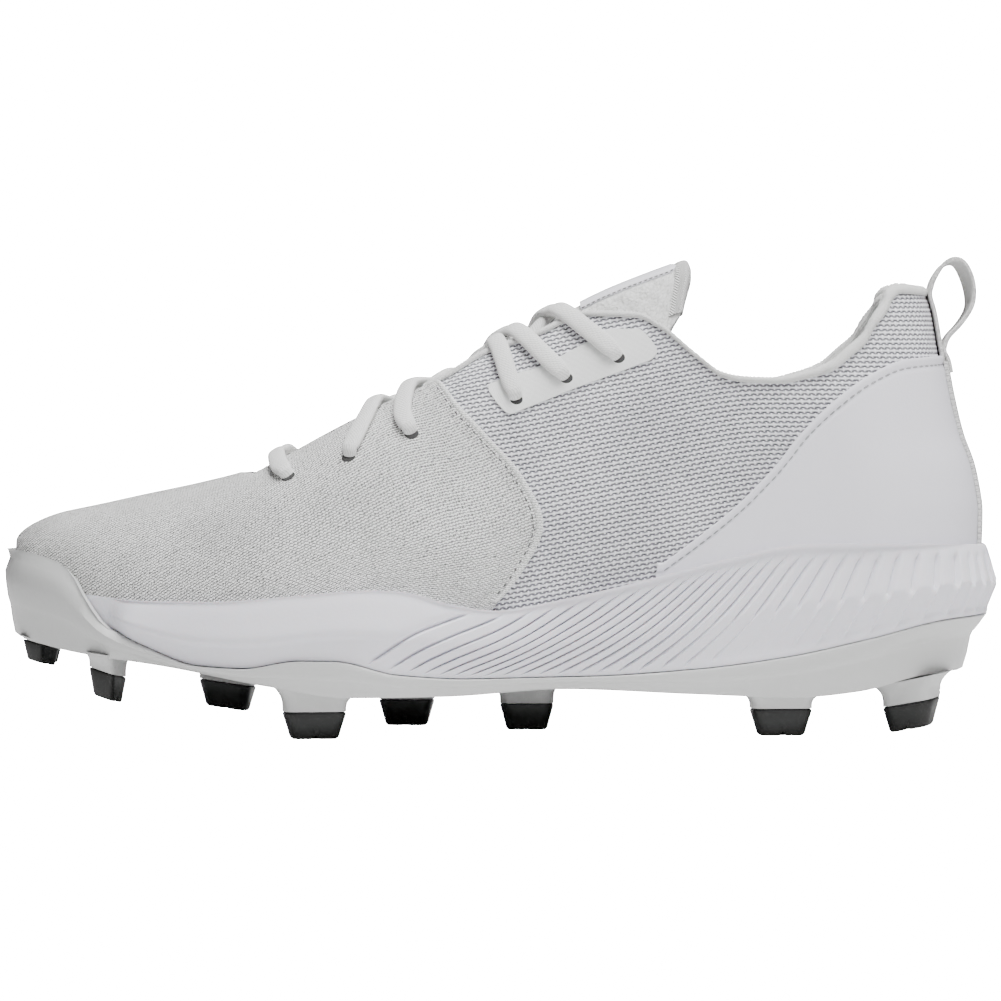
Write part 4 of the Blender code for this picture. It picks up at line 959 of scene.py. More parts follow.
def seam_on(name, grid, low, columns, rows, pitch, size, material, slot):
    """Stitches along a line over a grid, each a bead of thread of some length, width and
    height; low is the same grid underneath."""
    places = on_grid(grid, columns, rows)
    normals = unit(places - on_grid(low, columns, rows))
    distance = run(places[None], 1)[0]
    beads = []
    for spot in np.arange(pitch / 2, distance[-1], pitch):
        at, ahead, up = (
            np.array([np.interp(where, distance, line[:, k]) for k in range(3)])
            for where, line in ((spot, places), (spot + 0.0003, places), (spot, normals)))
        up, along = unit(up), unit(ahead - at)
        across = unit(np.cross(up, along))
        points = []
        for i in range(BEAD_RINGS):
            reach = math.cos(math.pi * (i + 0.3) / (BEAD_RINGS - 0.4))
            thick = math.sqrt(max(1 - reach * reach, 0.02))
            for j in range(BEAD_SIDES):
                angle = 2 * math.pi * j / BEAD_SIDES
                points.append(at + along * reach * size[0] / 2
                              + (across * math.cos(angle) * size[1]
                                 + up * math.sin(angle) * size[2]) / 2 * thick)
        beads.append((np.array(points), tube_faces(BEAD_RINGS, BEAD_SIDES)))
    return piece(name, *joined(beads), material, slot)


FOLD_PLACES = np.linspace(0, 1.5, 7)    # in columns of the panel's grid
FOLD_THICKNESS = 0.00045
fold_finish = weave("folded_edge", 0.80, (0.35, 0.35, 0.345), (0.92, 0.92, 0.91),
                    0.0011, 0.0008, 0.8, 0.0002)
out = unit(outer - inner)


def between_columns(grid):
    """Rows of a grid at the fold's places, by straight lines between columns."""
    first = np.minimum(FOLD_PLACES.astype(int), 1)
    part = (FOLD_PLACES - first)[:, None, None]
    return grid[first] * (1 - part) + grid[first + 1] * part


for label, rows in (("outer", slice(1, SIDE_ROWS + 1)), ("inner", slice(-SIDE_ROWS - 1, -1))):
    low, away = between_columns(outer[:, rows]), between_columns(out[:, rows])
    hump = np.sin(np.pi * np.linspace(0.12, 1, len(FOLD_PLACES)))[:, None, None]
    high = low + away * FOLD_THICKNESS * hump
    piece(f"vamp_fold_{label}", *shell(high, low - away * 0.0003), fold_finish, "woven",
          cloth=cloth_over(high, mirrored=False), sharp=70)
needle_finish = grained("needle_thread", 0.9, (0.07, 0.07, 0.07), (0.16, 0.16, 0.16),
                        0.001, 0.00001)
REAR_PLACES, THROAT_PLACES = 120, 160
rows_up = np.linspace(1.5, SIDE_ROWS - 1.5, REAR_PLACES)
last_row = len(upper_rows) - 1
for label, rows in (("outer", rows_up), ("inner", last_row - rows_up)):
    seam_on(f"vamp_stitch_{label}", outer, inner, np.full(REAR_PLACES, 2.2), rows, 0.0028,
            (0.0015, 0.0005, 0.0004), needle_finish, "woven")
    edge_row = SIDE_ROWS - 1.6 if label == "outer" else last_row - SIDE_ROWS + 1.6
    seam_on(f"throat_stitch_{label}", outer, inner, np.linspace(6, LEAD - 2, THROAT_PLACES),
            np.full(THROAT_PLACES, edge_row), 0.0026, (0.0013, 0.0005, 0.0004),
            needle_finish, "woven")

# ---- Heel overlay
# Smooth white synthetic leather round the heel, with a folded and stitched top edge
# that runs down to the foam. A narrow grey tape covers its back seam.
COUNTER_EDGE = (             # share of the length, share of the collar's rise
    (0.000, 0.755), (0.045, 0.740), (0.085, 0.690), (0.125, 0.610),
    (0.165, 0.510), (0.210, 0.380), (0.260, 0.240), (0.325, 0.075),
)
counter_edge = curve(COUNTER_EDGE)
COUNTER_THICKNESS = 0.0012
COUNTER_ROWS = 40
EDGE_FOLD, EDGE_ROUND = 0.00035, 0.0004
STITCH_IN, STITCH_GROOVE, GROOVE_SPREAD = 0.0027, 0.0005, 0.0005
counter_half = np.concatenate([round_heel(30),
                               np.linspace(HEEL_ROUND, COUNTER_EDGE[-1][0] + 0.006, 60)])
counter_shares = np.concatenate([counter_half[::-1], counter_half[1:]])
counter_sides = np.concatenate([-np.ones(len(counter_half)), np.ones(len(counter_half) - 1)])
level = np.linspace(0, 1, COUNTER_ROWS + 1)
share_grid, side_grid = (np.broadcast_to(values[:, None], (len(values), COUNTER_ROWS + 1))
                         for values in (counter_shares, counter_sides))
foot = foam_line_turn(share_grid, side_grid)
top = turn_at(share_grid, BED + counter_edge(share_grid) * COLLAR_RISE, side_grid)
counter_turn = blend(foot, top, level)
rise = run(last_point(share_grid, counter_turn), 1)
from_edge = rise[:, -1:] - rise
fold = (EDGE_FOLD * (1 - ease(from_edge, 0.0018, 0.0024))
        - EDGE_ROUND * (1 - ease(from_edge, 0.0, 0.0005)))
groove = STITCH_GROOVE * np.exp(-((from_edge - STITCH_IN) / GROOVE_SPREAD) ** 2)
face = CURVED_GAP + COUNTER_THICKNESS * 0.75
outer = off_last(share_grid, counter_turn, face + fold - groove)
inner = off_last(share_grid, counter_turn, 0.00015)
counter_finish = grained("smooth_synthetic", 0.46, (0.70, 0.69, 0.745), (0.745, 0.735, 0.785),
                         0.0007, 0.00006)
piece("heel_wrap", *shell(outer, inner), counter_finish, "synthetic", ["heel_counter"], sharp=50)
# The stitch thread is grey in its own right and darkened further as painted shade of the stitch
# groove.
thread_and_groove_shade = grained("thread", 0.7, (0.22, 0.22, 0.23), (0.42, 0.42, 0.44), 0.0004, 0.00003)
seam_rows = np.array([np.interp(-STITCH_IN, -depths, np.arange(COUNTER_ROWS + 1))
                      for depths in from_edge])
seam_on("heel_wrap_stitch", outer, inner, np.arange(2.0, len(counter_shares) - 2),
        seam_rows[2:-2], 0.0026, (0.0020, 0.0006, 0.0005), thread_and_groove_shade, "synthetic")

STRIP_THICKNESS, STRIP_WIDTH = 0.0009, 0.0150
STRIP_TOP, STRIP_BEVEL = 0.735, 0.0012


def across_heel(y, z):
    """Share of the last whose half-width reaches a distance off its middle."""
    low, high = np.zeros_like(y), np.full_like(y, HEEL_ROUND)
    for _ in range(24):
        share = (low + high) / 2
        reach = np.abs(last_point(share, turn_at(share, z, -1.0))[..., 1])
        short = reach < np.abs(y)
        low, high = np.where(short, share, low), np.where(short, high, share)
    return low


def heel_place(y, z):
    share = across_heel(y, z)
    return last_point(share, turn_at(share, z, np.where(y > 0, 1.0, -1.0)))


def over_heel(y, z, offset):
    """A place over the back of the heel, at a distance off its middle and a height."""
    step = 0.004
    up = heel_place(y, z + step) - heel_place(y, z - step)
    aside = heel_place(y + step, z) - heel_place(y - step, z)
    normal = unit(np.cross(aside, up))
    return heel_place(y, z) + normal * np.asarray(offset)[..., None]


strip_y, strip_z = np.meshgrid(np.linspace(-0.5, 0.5, 15) * STRIP_WIDTH,
                               np.linspace(foam_top(0.0) * SOLE_HEIGHT - 0.001,
                                           BED + COLLAR_RISE * STRIP_TOP, 41), indexing="ij")
base = face + CURVED_GAP
rim = np.minimum(np.abs(np.abs(strip_y) - STRIP_WIDTH / 2) / STRIP_BEVEL, 1.0)
outer = over_heel(strip_y, strip_z, base + STRIP_THICKNESS * (0.55 + 0.45 * rim))
inner = over_heel(strip_y, strip_z, base - 0.0004 + 0 * strip_y)
tape_finish = weave("woven_tape", 0.75, (0.46, 0.46, 0.45), (0.70, 0.70, 0.69),
                    0.0016, 0.0009, 0.3, 0.0002)
piece("back_tape", *shell(outer, inner), tape_finish, "tape", ["heel_strip"],
      cloth=cloth_over(outer, mirrored=False))

# ---- Eyelet films
# Thin plastic film pressed over the mesh to stiffen it round the three upper eyelets.
# Its lower edge runs straight, and its upper edge keeps close under the topline.
FILM = (                     # share of the length, lower and upper edge as shares of the rise
    (0.307, 0.765, 0.780), (0.314, 0.742, 0.815), (0.324, 0.730, 0.842), (0.350, 0.701, 0.842),
    (0.382, 0.666, 0.796), (0.402, 0.644, 0.765), (0.420, 0.622, 0.737), (0.438, 0.600, 0.712),
    (0.455, 0.580, 0.699), (0.472, 0.562, 0.680), (0.482, 0.590, 0.668), (0.491, 0.636, 0.658),
)
film_low, film_high = curve(FILM, 1), curve(FILM, 2)
FILM_THICKNESS, FILM_UNDER = 0.00035, 0.00005
FILM_COLUMNS, FILM_ROWS = 60, 20
film_finish, tree, shader = finish("pressed_film", 0.42)
spot = add(tree, "ShaderNodeAttribute", attribute_name="cloth").outputs["Vector"]
checks = add(tree, "ShaderNodeTexChecker", {"Vector": spot, "Scale": 1000.0})
cloud = add(tree, "ShaderNodeTexNoise", {"Vector": spot, "Scale": 250.0})
faint = maths(tree, "MULTIPLY_ADD", checks.outputs["Fac"], 0.25, cloud.outputs["Fac"])
tree.links.new(tone(tree, faint, (0.68, 0.69, 0.68), (0.735, 0.74, 0.735)),
               shader.inputs["Base Color"])
bump(tree, shader, checks.outputs["Fac"], 0.00003)
film_share, film_level = np.meshgrid(
    blend(FILM[0][0], FILM[-1][0], 0.5 - 0.5 * np.cos(np.linspace(0, np.pi, FILM_COLUMNS + 1))),
    np.linspace(0, 1, FILM_ROWS + 1), indexing="ij")
rise = blend(film_low(film_share), film_high(film_share), film_level)
for label, side, solid in (("outer", -1.0, "eyestay_lateral"), ("inner", 1.0, "eyestay_medial")):
    film_turn = turn_at(film_share, BED + rise * COLLAR_RISE, side)
    outer = off_last(film_share, film_turn, GAP + FILM_THICKNESS)
    inner = off_last(film_share, film_turn, FILM_UNDER)
    piece(f"film_{label}", *shell(outer, inner), film_finish, "film", [solid],
          cloth=cloth_over(outer, mirrored=False))

# ---- Sock liner
# A loose footbed of thin foam with a grey knit face, cupped a little at the heel
# and laid on the midsole inside the upper.
INSOLE_THICKNESS = 0.0038
SOCK_CUP = 0.0016
SOCK_ACROSS = 20
shares, sides = once_round(crowded(110))
sock_in = WALL + 3 * GAP


def sock_ring(lift, inset):
    return with_height(off_last(shares, sides, -sock_in - inset), feather(shares) + lift)


rings = [sock_ring(GAP + INSOLE_THICKNESS * level, inset)
         for level, inset in ((0.0, 0.0002), (0.7, 0.0), (0.95, 0.0002), (1.0, 0.0008))]
count = len(shares)
top, across = spanned(rings[-1], SOCK_ACROSS)
open_heel = 0.4 + 0.6 * (1 - ease(shares[:count // 2 + 1], 0.2, 0.5))
cup = (1 - (2 * across - 1) ** 4) * open_heel[:, None]
wide = np.linalg.norm(top[:, 0] - top[:, -1], axis=1)
top[..., 2] -= SOCK_CUP * cup * ease(wide, 0.0, 0.03)[:, None]
points = np.concatenate(rings + [top.reshape(-1, 3)])
faces = ring_faces(len(rings), count) + ladder(0, count)
faces += grid_faces(len(rings) * count, count // 2, SOCK_ACROSS)
sock_finish = weave("sock_knit", 0.85, (0.42, 0.42, 0.42), (0.66, 0.66, 0.65),
                    0.0020, 0.0012, 0.3, 0.00015, Sheen_Weight=0.2)
piece("sock_liner", points, faces, sock_finish, "sock", ["insole"], cloth=points[:, :2],
      weld=True)

# ---- Collar lining and binding
# A padded knit lining inside the collar, and a ribbed tape that is rolled over the
# topline from one end of the throat round the heel to the other.
LINING_THICKNESS, LINING_DEPTH, LINING_DROP, LINING_END = 0.0042, 0.0260, 0.0006, 0.335
BINDING_END, BINDING_FADE = 0.560, 0.008
BINDING_RISE = (             # share of the length, how far the roll stands over the edge
    (0.000, 0.0018), (0.050, 0.0020), (0.110, 0.0019), (0.150, 0.0014), (0.200, 0.0011),
    (0.260, 0.0011), (0.400, 0.0012), (0.560, 0.0012),
)
binding_rise = curve(BINDING_RISE)
RIB_PITCH, RIB_SLANT, RIB_HEIGHT = 0.00120, 1.2, 0.00024


def edge_frame(share, side):
    """A point of the topline, its way up over the edge and its way out."""
    turn = side * edge_turn(share)
    step = 0.004
    base = last_point(share, turn)
    over = unit(last_point(share, turn - side * step) - last_point(share, turn + side * step))
    out = off_last(share, turn, 1.0) - base
    return base, over, out


def along_edge(end, count):
    """Shares and sides along the topline, from the outer throat round the heel."""
    half = end * np.sin(np.linspace(0, np.pi / 2, count)) ** 1.25
    return (np.concatenate([half[::-1], half[1:]]),
            np.concatenate([-np.ones(count), np.ones(count - 1)]))


def rounded_section(corners, count):
    """A smooth closed section through its corners."""
    corners = np.array(corners)
    size = len(corners)
    made = []
    for u in np.arange(count) * size / count:
        i, t = int(u), u % 1
        a, b, c, d = (corners[(i + k) % size] for k in (-1, 0, 1, 2))
        made.append(b + 0.5 * t * (c - a + t * (2 * a - 5 * b + 4 * c - d
                                                + t * (3 * (b - c) + d - a))))
    return made


def cloth_round(rings, gone):
    """Cloth measure of rings along a line: how far along it, and round the ring."""
    return np.stack([np.broadcast_to(gone[:, None], rings.shape[:2]), run(rings, 1)], axis=-1)


share, side = along_edge(LINING_END, 70)
back, front = -WALL - 0.0001, -WALL - GAP - LINING_THICKNESS
depth = LINING_DEPTH
section = rounded_section((
    (back, -depth), (back, -depth * 0.5), (back, -0.0010), (blend(back, front, 0.3), 0.0012),
    (blend(back, front, 0.8), 0.0006), (front - 0.0003, -0.0045), (front, -depth * 0.35),
    (blend(back, front, 0.75), -depth * 0.65), (blend(back, front, 0.35), -depth * 0.92)), 36)
base, over, out = edge_frame(share, side)
rings = np.zeros((len(share), len(section), 3))
for k, (a, b) in enumerate(section):
    turn = turn_at(share, base[:, 2] + min(b, 0.0) - LINING_DROP, side)
    rings[:, k] = off_last(share, turn, a) + over * max(b, 0.0)
lining_finish = weave("lining_knit", 0.88, (0.45, 0.45, 0.44), (0.70, 0.70, 0.69),
                      0.0018, 0.0011, 0.5, 0.00018, Sheen_Weight=0.25)
along = np.broadcast_to(run(base[None], 1)[0][:, None], rings.shape[:2])
around = np.broadcast_to(np.array([b for a, b in section]), rings.shape[:2])
lining = piece("lining_pad", rings, tube_faces(len(share), len(section)), lining_finish, "lining",
               ["collar_lining"], cloth=np.stack([along, around], axis=-1), sharp=60)

share, side = along_edge(BINDING_END, 420)
rise = binding_rise(share)
end = ease(BINDING_END - share, 0.0, BINDING_FADE)
section = rounded_section((
    (0.00025, -1.0), (0.0009, -0.75), (0.0011, -0.1), (0.0007, 0.62), (-0.0008, 1.0),
    (-0.0024, 0.75), (-0.0030, 0.1), (-0.0029, -0.9), (-0.0021, -1.0), (-0.0018, -0.4),
    (-0.0009, -0.15)), 26)
base, over, out = edge_frame(share, side)
gone = run(base[None], 1)[0]
rings = np.zeros((len(share), len(section), 3))
for k, (a, b) in enumerate(section):
    up = b * rise * (1.0 if b > 0 else 0.95) * blend(0.55, 1.0, end)
    rib = RIB_HEIGHT * (b > -0.95) * np.sin(2 * np.pi * (gone + RIB_SLANT * up * side) / RIB_PITCH)
    wide = a * blend(0.7 if a > -0.0009 else 0.75, 1.0, end)
    rings[:, k] = (base + out * (wide + rib * (a > -0.0008))[:, None]
                   + over * (up + rib * (b > 0.3))[:, None])
binding_finish = weave("ribbed_binding", 0.82, (0.52, 0.52, 0.51), (0.72, 0.72, 0.71),
                       0.0009, 0.0006, 0.6, 0.00008, Sheen_Weight=0.2)
piece("collar_binding", rings, tube_faces(len(share), len(section)), binding_finish, "lining",
      ["collar_lining"], cloth=cloth_round(rings, gone), sharp=70)

# ---- Tongue
# A padded tongue of looped knit from under the vamp to above the collar. Its front
# carries a smooth pressed panel, and a herringbone tape binds its free edge.
TONGUE = (                   # share of the length, turn that its sides reach
    (0.262, 0.385), (0.275, 0.440), (0.300, 0.465), (0.450, 0.410), (0.600, 0.350), (0.775, 0.260),
)
TONGUE_THICKNESS = 0.0050
WING_TUCK, WING_TURN = 0.0046, (0.10, 0.34)
THIN_WING, THIN_END, END_ZONE = 0.45, 0.45, 0.012
TONGUE_COLUMNS, TONGUE_ROWS = 120, 44
SOFT_DEPTH = 0.0003          # the padding is a little uneven beside the laces
TONGUE_SINK = 0.0026         # its middle is drawn down under the laces
TONGUE_TIP = (               # turn, share of the length at which the free edge ends
    (0.00, 0.2585), (0.10, 0.2570), (0.20, 0.2585), (0.30, 0.2665), (0.385, 0.2780),
    (0.470, 0.2880),
)
tongue_reach, tongue_tip = curve(TONGUE), curve(TONGUE_TIP)


def tongue_depth(turn):
    """How far the tongue's outside lies in from the last."""
    wing = ease(np.abs(turn), *WING_TURN)
    return WALL + 2 * GAP + WING_TUCK * wing + TONGUE_SINK * (1 - wing)


column, row = np.meshgrid(np.linspace(0, 1, TONGUE_COLUMNS + 1),
                          np.linspace(-1, 1, TONGUE_ROWS + 1), indexing="ij")
start, end = TONGUE[0][0], TONGUE[-1][0]
turn = tongue_reach(blend(start, end, column)) * row
tip = tongue_tip(np.abs(turn))
share = blend(tip, end, column)
depth = tongue_depth(turn)
thick = TONGUE_THICKNESS * (1 - THIN_WING * np.abs(row) ** 3)
thick *= 1 - THIN_END * (1 - ease(np.minimum(share - tip, end - share), 0.0, END_ZONE))
soft = SOFT_DEPTH * np.sin(share * 260) * np.sin(turn * 40) * ease(np.abs(turn), 0.12, 0.2)
outer, inner = off_last(share, turn, -depth + soft), off_last(share, turn, -depth - thick)
looped, tree, shader = finish("looped_knit", 0.9, Sheen_Weight=0.3)
spot = add(tree, "ShaderNodeAttribute", attribute_name="cloth").outputs["Vector"]
loops = add(tree, "ShaderNodeTexVoronoi", {"Vector": spot, "Scale": 900.0, "Randomness": 0.9})
wander = add(tree, "ShaderNodeTexNoise", {"Vector": spot, "Scale": 520.0, "Detail": 3.0,
                                          "Distortion": 1.4})
fuzz = maths(tree, "MULTIPLY_ADD", loops.outputs["Distance"], -0.55, wander.outputs["Fac"])
fuzz = maths(tree, "ADD", fuzz, 0.42, clamp=True)
tree.links.new(tone(tree, fuzz, (0.44, 0.44, 0.43), (0.76, 0.76, 0.75)),
               shader.inputs["Base Color"])
bump(tree, shader, fuzz, 0.0004)
tongue = piece("tongue_pad", *shell(outer, inner), looped, "knit", ["tongue"],
               cloth=cloth_over(outer, mirrored=False), sharp=55)

PANEL_SPAN, PANEL_REACH = (0.268, 0.386), 0.150
PRESSED = 0.0010
FACE_COLUMNS, FACE_ROWS, FACE_PLACES = 40, 20, 60
column, row = np.meshgrid(np.linspace(0, 1, FACE_COLUMNS + 1),
                          np.linspace(-1, 1, FACE_ROWS + 1), indexing="ij")
share = blend(*PANEL_SPAN, column)
turn = PANEL_REACH * row * np.sqrt(np.clip(1 - np.maximum(0.86 - 8 * column, 0.0) ** 4, 0.2, 1))
rim = np.minimum(ease(1 - np.abs(row), 0.0, 0.18), ease(column, 0.0, 0.05))
lift = PRESSED * (0.45 + 0.55 * rim)
outer = off_last(share, turn, -tongue_depth(turn) + lift)
inner = off_last(share, turn, -tongue_depth(turn) - 0.0004)
face_finish = grained("pressed_face", 0.50, (0.66, 0.655, 0.70), (0.72, 0.715, 0.76),
                      0.0008, 0.00004)
piece("tongue_face", *shell(outer, inner), face_finish, "film", ["tongue_panel"], sharp=50)
edge_rows = np.full(FACE_PLACES, 0.35)
for label, rows in (("outer", edge_rows), ("inner", FACE_ROWS - edge_rows)):
    seam_on(f"face_stitch_{label}", outer, inner,
            np.linspace(1.0, FACE_COLUMNS - 1.0, FACE_PLACES), rows,
            0.0017, (0.0013, 0.0004, 0.0004), needle_finish, "film")

TAPE_REACH, TAPE_STAND = 0.0036, 0.0018
TAPE_TURNS, TAPE_ENDS = 90, 0.985
row = np.linspace(-TAPE_ENDS, TAPE_ENDS, TAPE_TURNS + 1)
turn = tongue_reach(start) * row
thick = TONGUE_THICKNESS * (1 - THIN_WING * np.abs(row) ** 3) * (1 - THIN_END)
tape_share = TAPE_REACH / (LENGTH - 0.03)
section = rounded_section((
    (1.0, 0.10), (0.55, 0.42), (0.0, 0.35), (-0.22, 0.0), (-0.26, -0.5), (-0.22, -1.0),
    (0.0, -1.35), (0.55, -1.42), (1.0, -1.10), (0.5, -0.9), (0.06, -0.5), (0.5, -0.1)), 40)
rings = np.zeros((len(row), len(section), 3))
for k, (a, b) in enumerate(section):
    outward = np.where(b > 0, b * TAPE_STAND,
                       np.where(b < -1, -thick + (b + 1) * TAPE_STAND, b * thick))
    at = tongue_tip(np.abs(turn)) + a * tape_share
    rings[:, k] = off_last(at, turn, -tongue_depth(turn) + outward)
herring, tree, shader = finish("herringbone_tape", 0.8, Sheen_Weight=0.2)
spot = add(tree, "ShaderNodeAttribute", attribute_name="cloth").outputs["Vector"]
flat = add(tree, "ShaderNodeSeparateXYZ", {0: spot})
bent = maths(tree, "PINGPONG", flat.outputs["Y"], TAPE_REACH / 2)
slant = maths(tree, "DIVIDE", maths(tree, "ADD", flat.outputs["X"], bent), 0.00085)
ridge = maths(tree, "MULTIPLY", maths(tree, "PINGPONG", slant, 0.5), 2.0)
tree.links.new(tone(tree, ridge, (0.47, 0.47, 0.46), (0.72, 0.72, 0.71)),
               shader.inputs["Base Color"])
bump(tree, shader, ridge, 0.0003)
piece("tongue_tape", rings, tube_faces(len(row), len(section)), herring, "knit", ["tongue"],
      cloth=cloth_round(rings, run(rings[:, :1], 0)[:, 0]), sharp=70)

# ---- Laces
# One flat-oval knitted lace through twelve eyelets. Each leg lies over the eyelet edge
# on one side, crosses the tongue and goes under the opposite edge.
LACE_WIDTH, LACE_THICKNESS = 0.0056, 0.0029
LEGS = (                     # share and turn of each place from the eyelet to the far edge
    ((0.709, -0.360), (0.718, -0.240), (0.720, -0.080), (0.708, 0.080),
     (0.690, 0.240), (0.680, 0.380)),
    ((0.645, -0.410), (0.632, -0.330), (0.616, -0.205), (0.603, -0.050),
     (0.594, 0.150), (0.586, 0.380)),
    ((0.577, -0.435), (0.583, -0.345), (0.578, -0.240), (0.560, -0.100),
     (0.535, 0.100), (0.500, 0.380)),
    ((0.463, -0.490), (0.469, -0.400), (0.477, -0.220), (0.492, -0.050),
     (0.520, 0.150), (0.545, 0.400)),
    ((0.407, -0.490), (0.431, -0.375), (0.456, -0.200), (0.476, 0.000),
     (0.500, 0.150), (0.535, 0.390)),
    ((0.349, -0.490), (0.385, -0.335), (0.408, -0.190), (0.424, 0.000),
     (0.446, 0.180), (0.475, 0.400)),
)
PROUD = (0.0040, 0.0006, -0.0008, -0.0014, 0.0006, 0.0)  # added to the upper crossing
UPPER_CROSSING, LOWER_CROSSING = -0.0022, -0.0044
DIVE_RUN, DIVE_DEPTH = 0.0022, 0.0028    # the end turns down into its eyelet
NECK_RUN, NECK_WIDTH = 0.0050, 0.72
WELT_DEPTH, WELT_ANGLE, WELT_SPREAD = 0.16, 5.45, 0.16
FLATNESS, GIRTH, KNIT_TURN = 0.85, 0.0022, (0.8, 0.6)
LACE_STEPS, LACE_SIDES = 64, 28
lace_angle = 2 * np.pi * np.arange(LACE_SIDES) / LACE_SIDES


def lace_path(leg, side, lift, proud):
    """Middle line of a leg, and its way out: over one edge, under the other."""
    way = [(i / (len(leg) - 1), *place) for i, place in enumerate(leg)]
    t = np.linspace(0, 1, LACE_STEPS + 1)
    share, turn = curve(way, 1)(t), curve(way, 2)(t)
    near = edge_turn(share)
    on_edge = blend(0.0004, PANEL_OVER, ease(share, 0.52, 0.55)) + LACE_THICKNESS / 2
    crossing = lift + proud
    under = -tongue_depth(near * 1.1) + LACE_THICKNESS / 2
    height = blend(on_edge, crossing, ease(turn, -near, -near * 0.25))
    height = blend(height, under, ease(turn, near * 0.12, near * 0.85))
    middle = off_last(share, side * -turn, height)
    out = unit(off_last(share, side * -turn, height + 0.001) - middle)
    gone = run(middle[None], 1)[0]
    dive = 1 - ease(gone, 0.0, DIVE_RUN)
    middle = middle - out * (dive ** 2 * (on_edge[0] + DIVE_DEPTH))[:, None]
    return middle, out, gone


def lace_leg(leg, side, lift, proud):
    middle, out, gone = lace_path(leg, side, lift, proud)
    along = unit(np.gradient(middle, axis=0))
    across = unit(np.cross(along, out))
    up = unit(np.cross(across, along))
    narrow = blend(NECK_WIDTH, 1.0, ease(gone, 0.0, NECK_RUN))
    welt = 1 - WELT_DEPTH * np.exp(-((lace_angle - WELT_ANGLE) / WELT_SPREAD) ** 2)
    flat_u, flat_v = (np.sign(part) * np.abs(part) ** FLATNESS * welt
                      for part in (np.cos(lace_angle), np.sin(lace_angle)))
    wide = flat_u * LACE_WIDTH / 2 * narrow[:, None]
    tall = flat_v * LACE_THICKNESS / 2 * blend(1.15, 1.0, narrow)[:, None]
    rings = middle[:, None] + across[:, None] * wide[..., None] + up[:, None] * tall[..., None]
    round_it = lace_angle * GIRTH
    cloth = np.stack([gone[:, None] * KNIT_TURN[0] + round_it * KNIT_TURN[1],
                      round_it * KNIT_TURN[0] - gone[:, None] * KNIT_TURN[1]], axis=-1)
    return (rings.reshape(-1, 3), tube_faces(len(rings), LACE_SIDES)), cloth.reshape(-1, 2)


legs = [lace_leg(leg, side, lift, proud if side < 0 else 0.0)
        for side, lift in ((-1, UPPER_CROSSING), (1, LOWER_CROSSING))
        for leg, proud in zip(LEGS, PROUD)]
lace_finish = weave("lace_knit", 0.82, (0.56, 0.56, 0.55), (0.80, 0.80, 0.79),
                    0.0009, 0.0006, 0.5, 0.00010, Sheen_Weight=0.25)
piece("lace", *joined([solid for solid, _ in legs]), lace_finish, "lace", ["laces"],
      cloth=np.concatenate([cloth for _, cloth in legs]), sharp=60)

# Near-black flat discs over each eyelet: painted shade standing in for the open holes, which are
# not cut.
HOLE_SIZE, HOLE_DOWN, HOLE_SQUAT, HOLE_SIDES = 0.0021, 0.0002, 0.85, 20
HOLE_RINGS = ((1.0, -0.0003), (1.0, 0.0), (0.86, 0.00008), (0.5, 0.00006))  # size, height
eyelet_shade_finish = grained("eyelet_hole_shade", 0.95, (0.028, 0.028, 0.028), (0.05, 0.05, 0.05),
                      0.001, 0.00002)
angle = 2 * np.pi * np.arange(HOLE_SIDES)[:, None] / HOLE_SIDES
shade_discs = []
for side in (-1, 1):
    for leg in LEGS:
        share, turn = leg[0][0], -side * leg[0][1]
        base = last_point(share, turn)
        around, out = last_point(share, turn * 1.02) - base, off_last(share, turn, 1.0) - base
        down, aside = unit(around), unit(np.cross(out, around))
        lift = 0.00015 + (PANEL_OVER if share > 0.52 else 0.00045)
        centre = base + down * HOLE_DOWN + out * lift
        oval = (down * np.cos(angle) * HOLE_SQUAT + aside * np.sin(angle)) * HOLE_SIZE
        rings = [centre + out * height + oval * scale for scale, height in HOLE_RINGS]
        shade_discs.append((np.concatenate(rings), tube_faces(len(HOLE_RINGS), HOLE_SIDES)))
piece("eyelet_shade_discs", *joined(shade_discs), eyelet_shade_finish, "film", ["laces"])

# ---- Pull loop
# A band of flat webbing sewn to the collar's lining and the back seam, which stands
# off the heel in an open loop and turns a little out of line at its top.
LOOP_RISE, LOOP_REACH, LOOP_LENGTH = 0.0072, 0.0154, 0.0282
LOOP_WIDTH, LOOP_THICKNESS, LOOP_TWIST = 0.0140, 0.0013, 0.17
TWIST_PLACE, TWIST_SPREAD = 0.45, 0.20
LOOP = (                     # folds: shares of the reach and of the length
    (0.195, 0.337), (0.273, 0.213), (0.448, 0.071), (0.656, 0.018), (0.825, 0.074), (0.961, 0.245),
    (1.000, 0.426), (0.942, 0.557), (0.760, 0.706), (0.532, 0.844), (0.448, 1.000),
)
t = np.linspace(0, 1, 121)
keys = np.linspace(0, 1, len(LOOP))


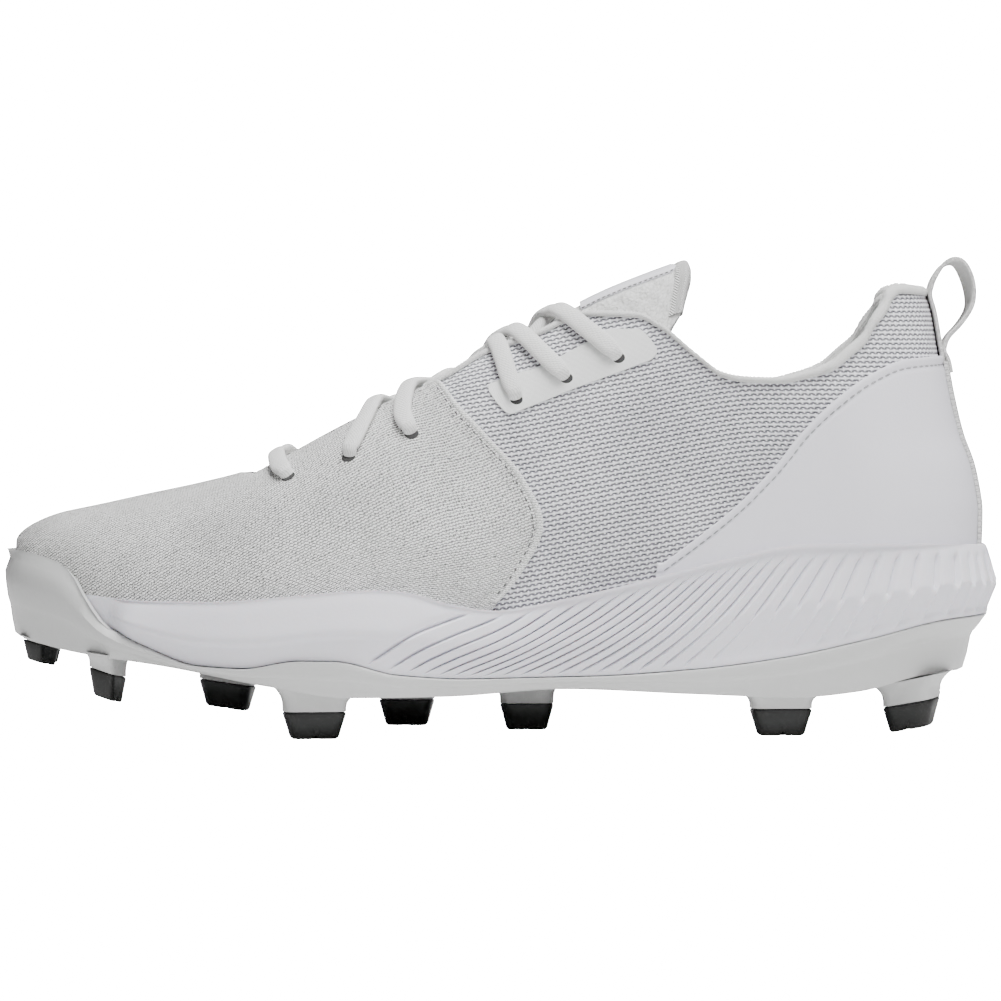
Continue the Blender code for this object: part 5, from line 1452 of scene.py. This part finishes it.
def smooth_line(column):
    """A smooth line through the folds, free to swing past them."""
    values = np.array([fold[column] for fold in LOOP])
    slopes = np.gradient(values, keys)
    i = np.clip(np.searchsorted(keys, t) - 1, 0, len(keys) - 2)
    width = keys[i + 1] - keys[i]
    u = (t - keys[i]) / width
    return (values[i] * (1 + 2 * u) * (1 - u) ** 2 + slopes[i] * width * u * (1 - u) ** 2
            + values[i + 1] * u * u * (3 - 2 * u) - slopes[i + 1] * width * u * u * (1 - u))


loop_x = back_of_last(BED + COLLAR_RISE) + smooth_line(0) * LOOP_REACH
loop_z = BED + COLLAR_RISE + LOOP_RISE - smooth_line(1) * LOOP_LENGTH
ROOT_LIFT = 0.0009           # the band's foot lies this far off the heel
root_z = np.linspace(loop_z[-1] - 0.004, loop_z[0] - 0.001, 24)
root = stacked(back_of_last(root_z) + ROOT_LIFT, 0.0, root_z)
foot_z = np.linspace(loop_z[-1] - 0.001, loop_z[-1] - 0.006, 8)
foot = stacked(back_of_last(foot_z) + ROOT_LIFT + LOOP_THICKNESS + CURVED_GAP, 0.0, foot_z)
line = np.concatenate([root, stacked(loop_x, 0.0, loop_z), foot])
for _ in range(6):
    line[1:-1] = (line[:-2] + 2 * line[1:-1] + line[2:]) / 4
t = np.concatenate([np.zeros(len(root)), t, np.ones(len(foot))])
along = unit(np.gradient(line, axis=0))
out = np.stack([along[:, 2], 0 * t, -along[:, 0]], axis=-1)
twist = LOOP_TWIST * np.exp(-((t - TWIST_PLACE) / TWIST_SPREAD) ** 2)
sideways = np.array([0.0, 1.0, 0.0]) * np.cos(twist)[:, None] + out * np.sin(twist)[:, None]
proud = np.cross(sideways, along)
wide, thick = LOOP_WIDTH / 2, LOOP_THICKNESS / 2
section = [(u, 1.0) for u in np.linspace(-0.93, 0.93, 9)] + [(1.0, 0.5), (1.0, -0.5)]
section += [(u, -1.0) for u in np.linspace(0.93, -0.93, 9)] + [(-1.0, -0.5), (-1.0, 0.5)]
rings = np.stack([line + sideways * u * wide + proud * v * thick for u, v in section], axis=1)
webbing_finish = weave("webbing_weave", 0.78, (0.50, 0.50, 0.49), (0.73, 0.73, 0.72),
                       0.0012, 0.0007, 0.2, 0.00018)
cloth = np.stack(np.broadcast_arrays(run(line[None], 1)[0][:, None],
                                     np.array([u * wide for u, v in section])), axis=-1)
piece("heel_loop", rings, tube_faces(len(t), len(section)), webbing_finish, "webbing",
      ["pull_loop"], cloth=cloth, sharp=50)
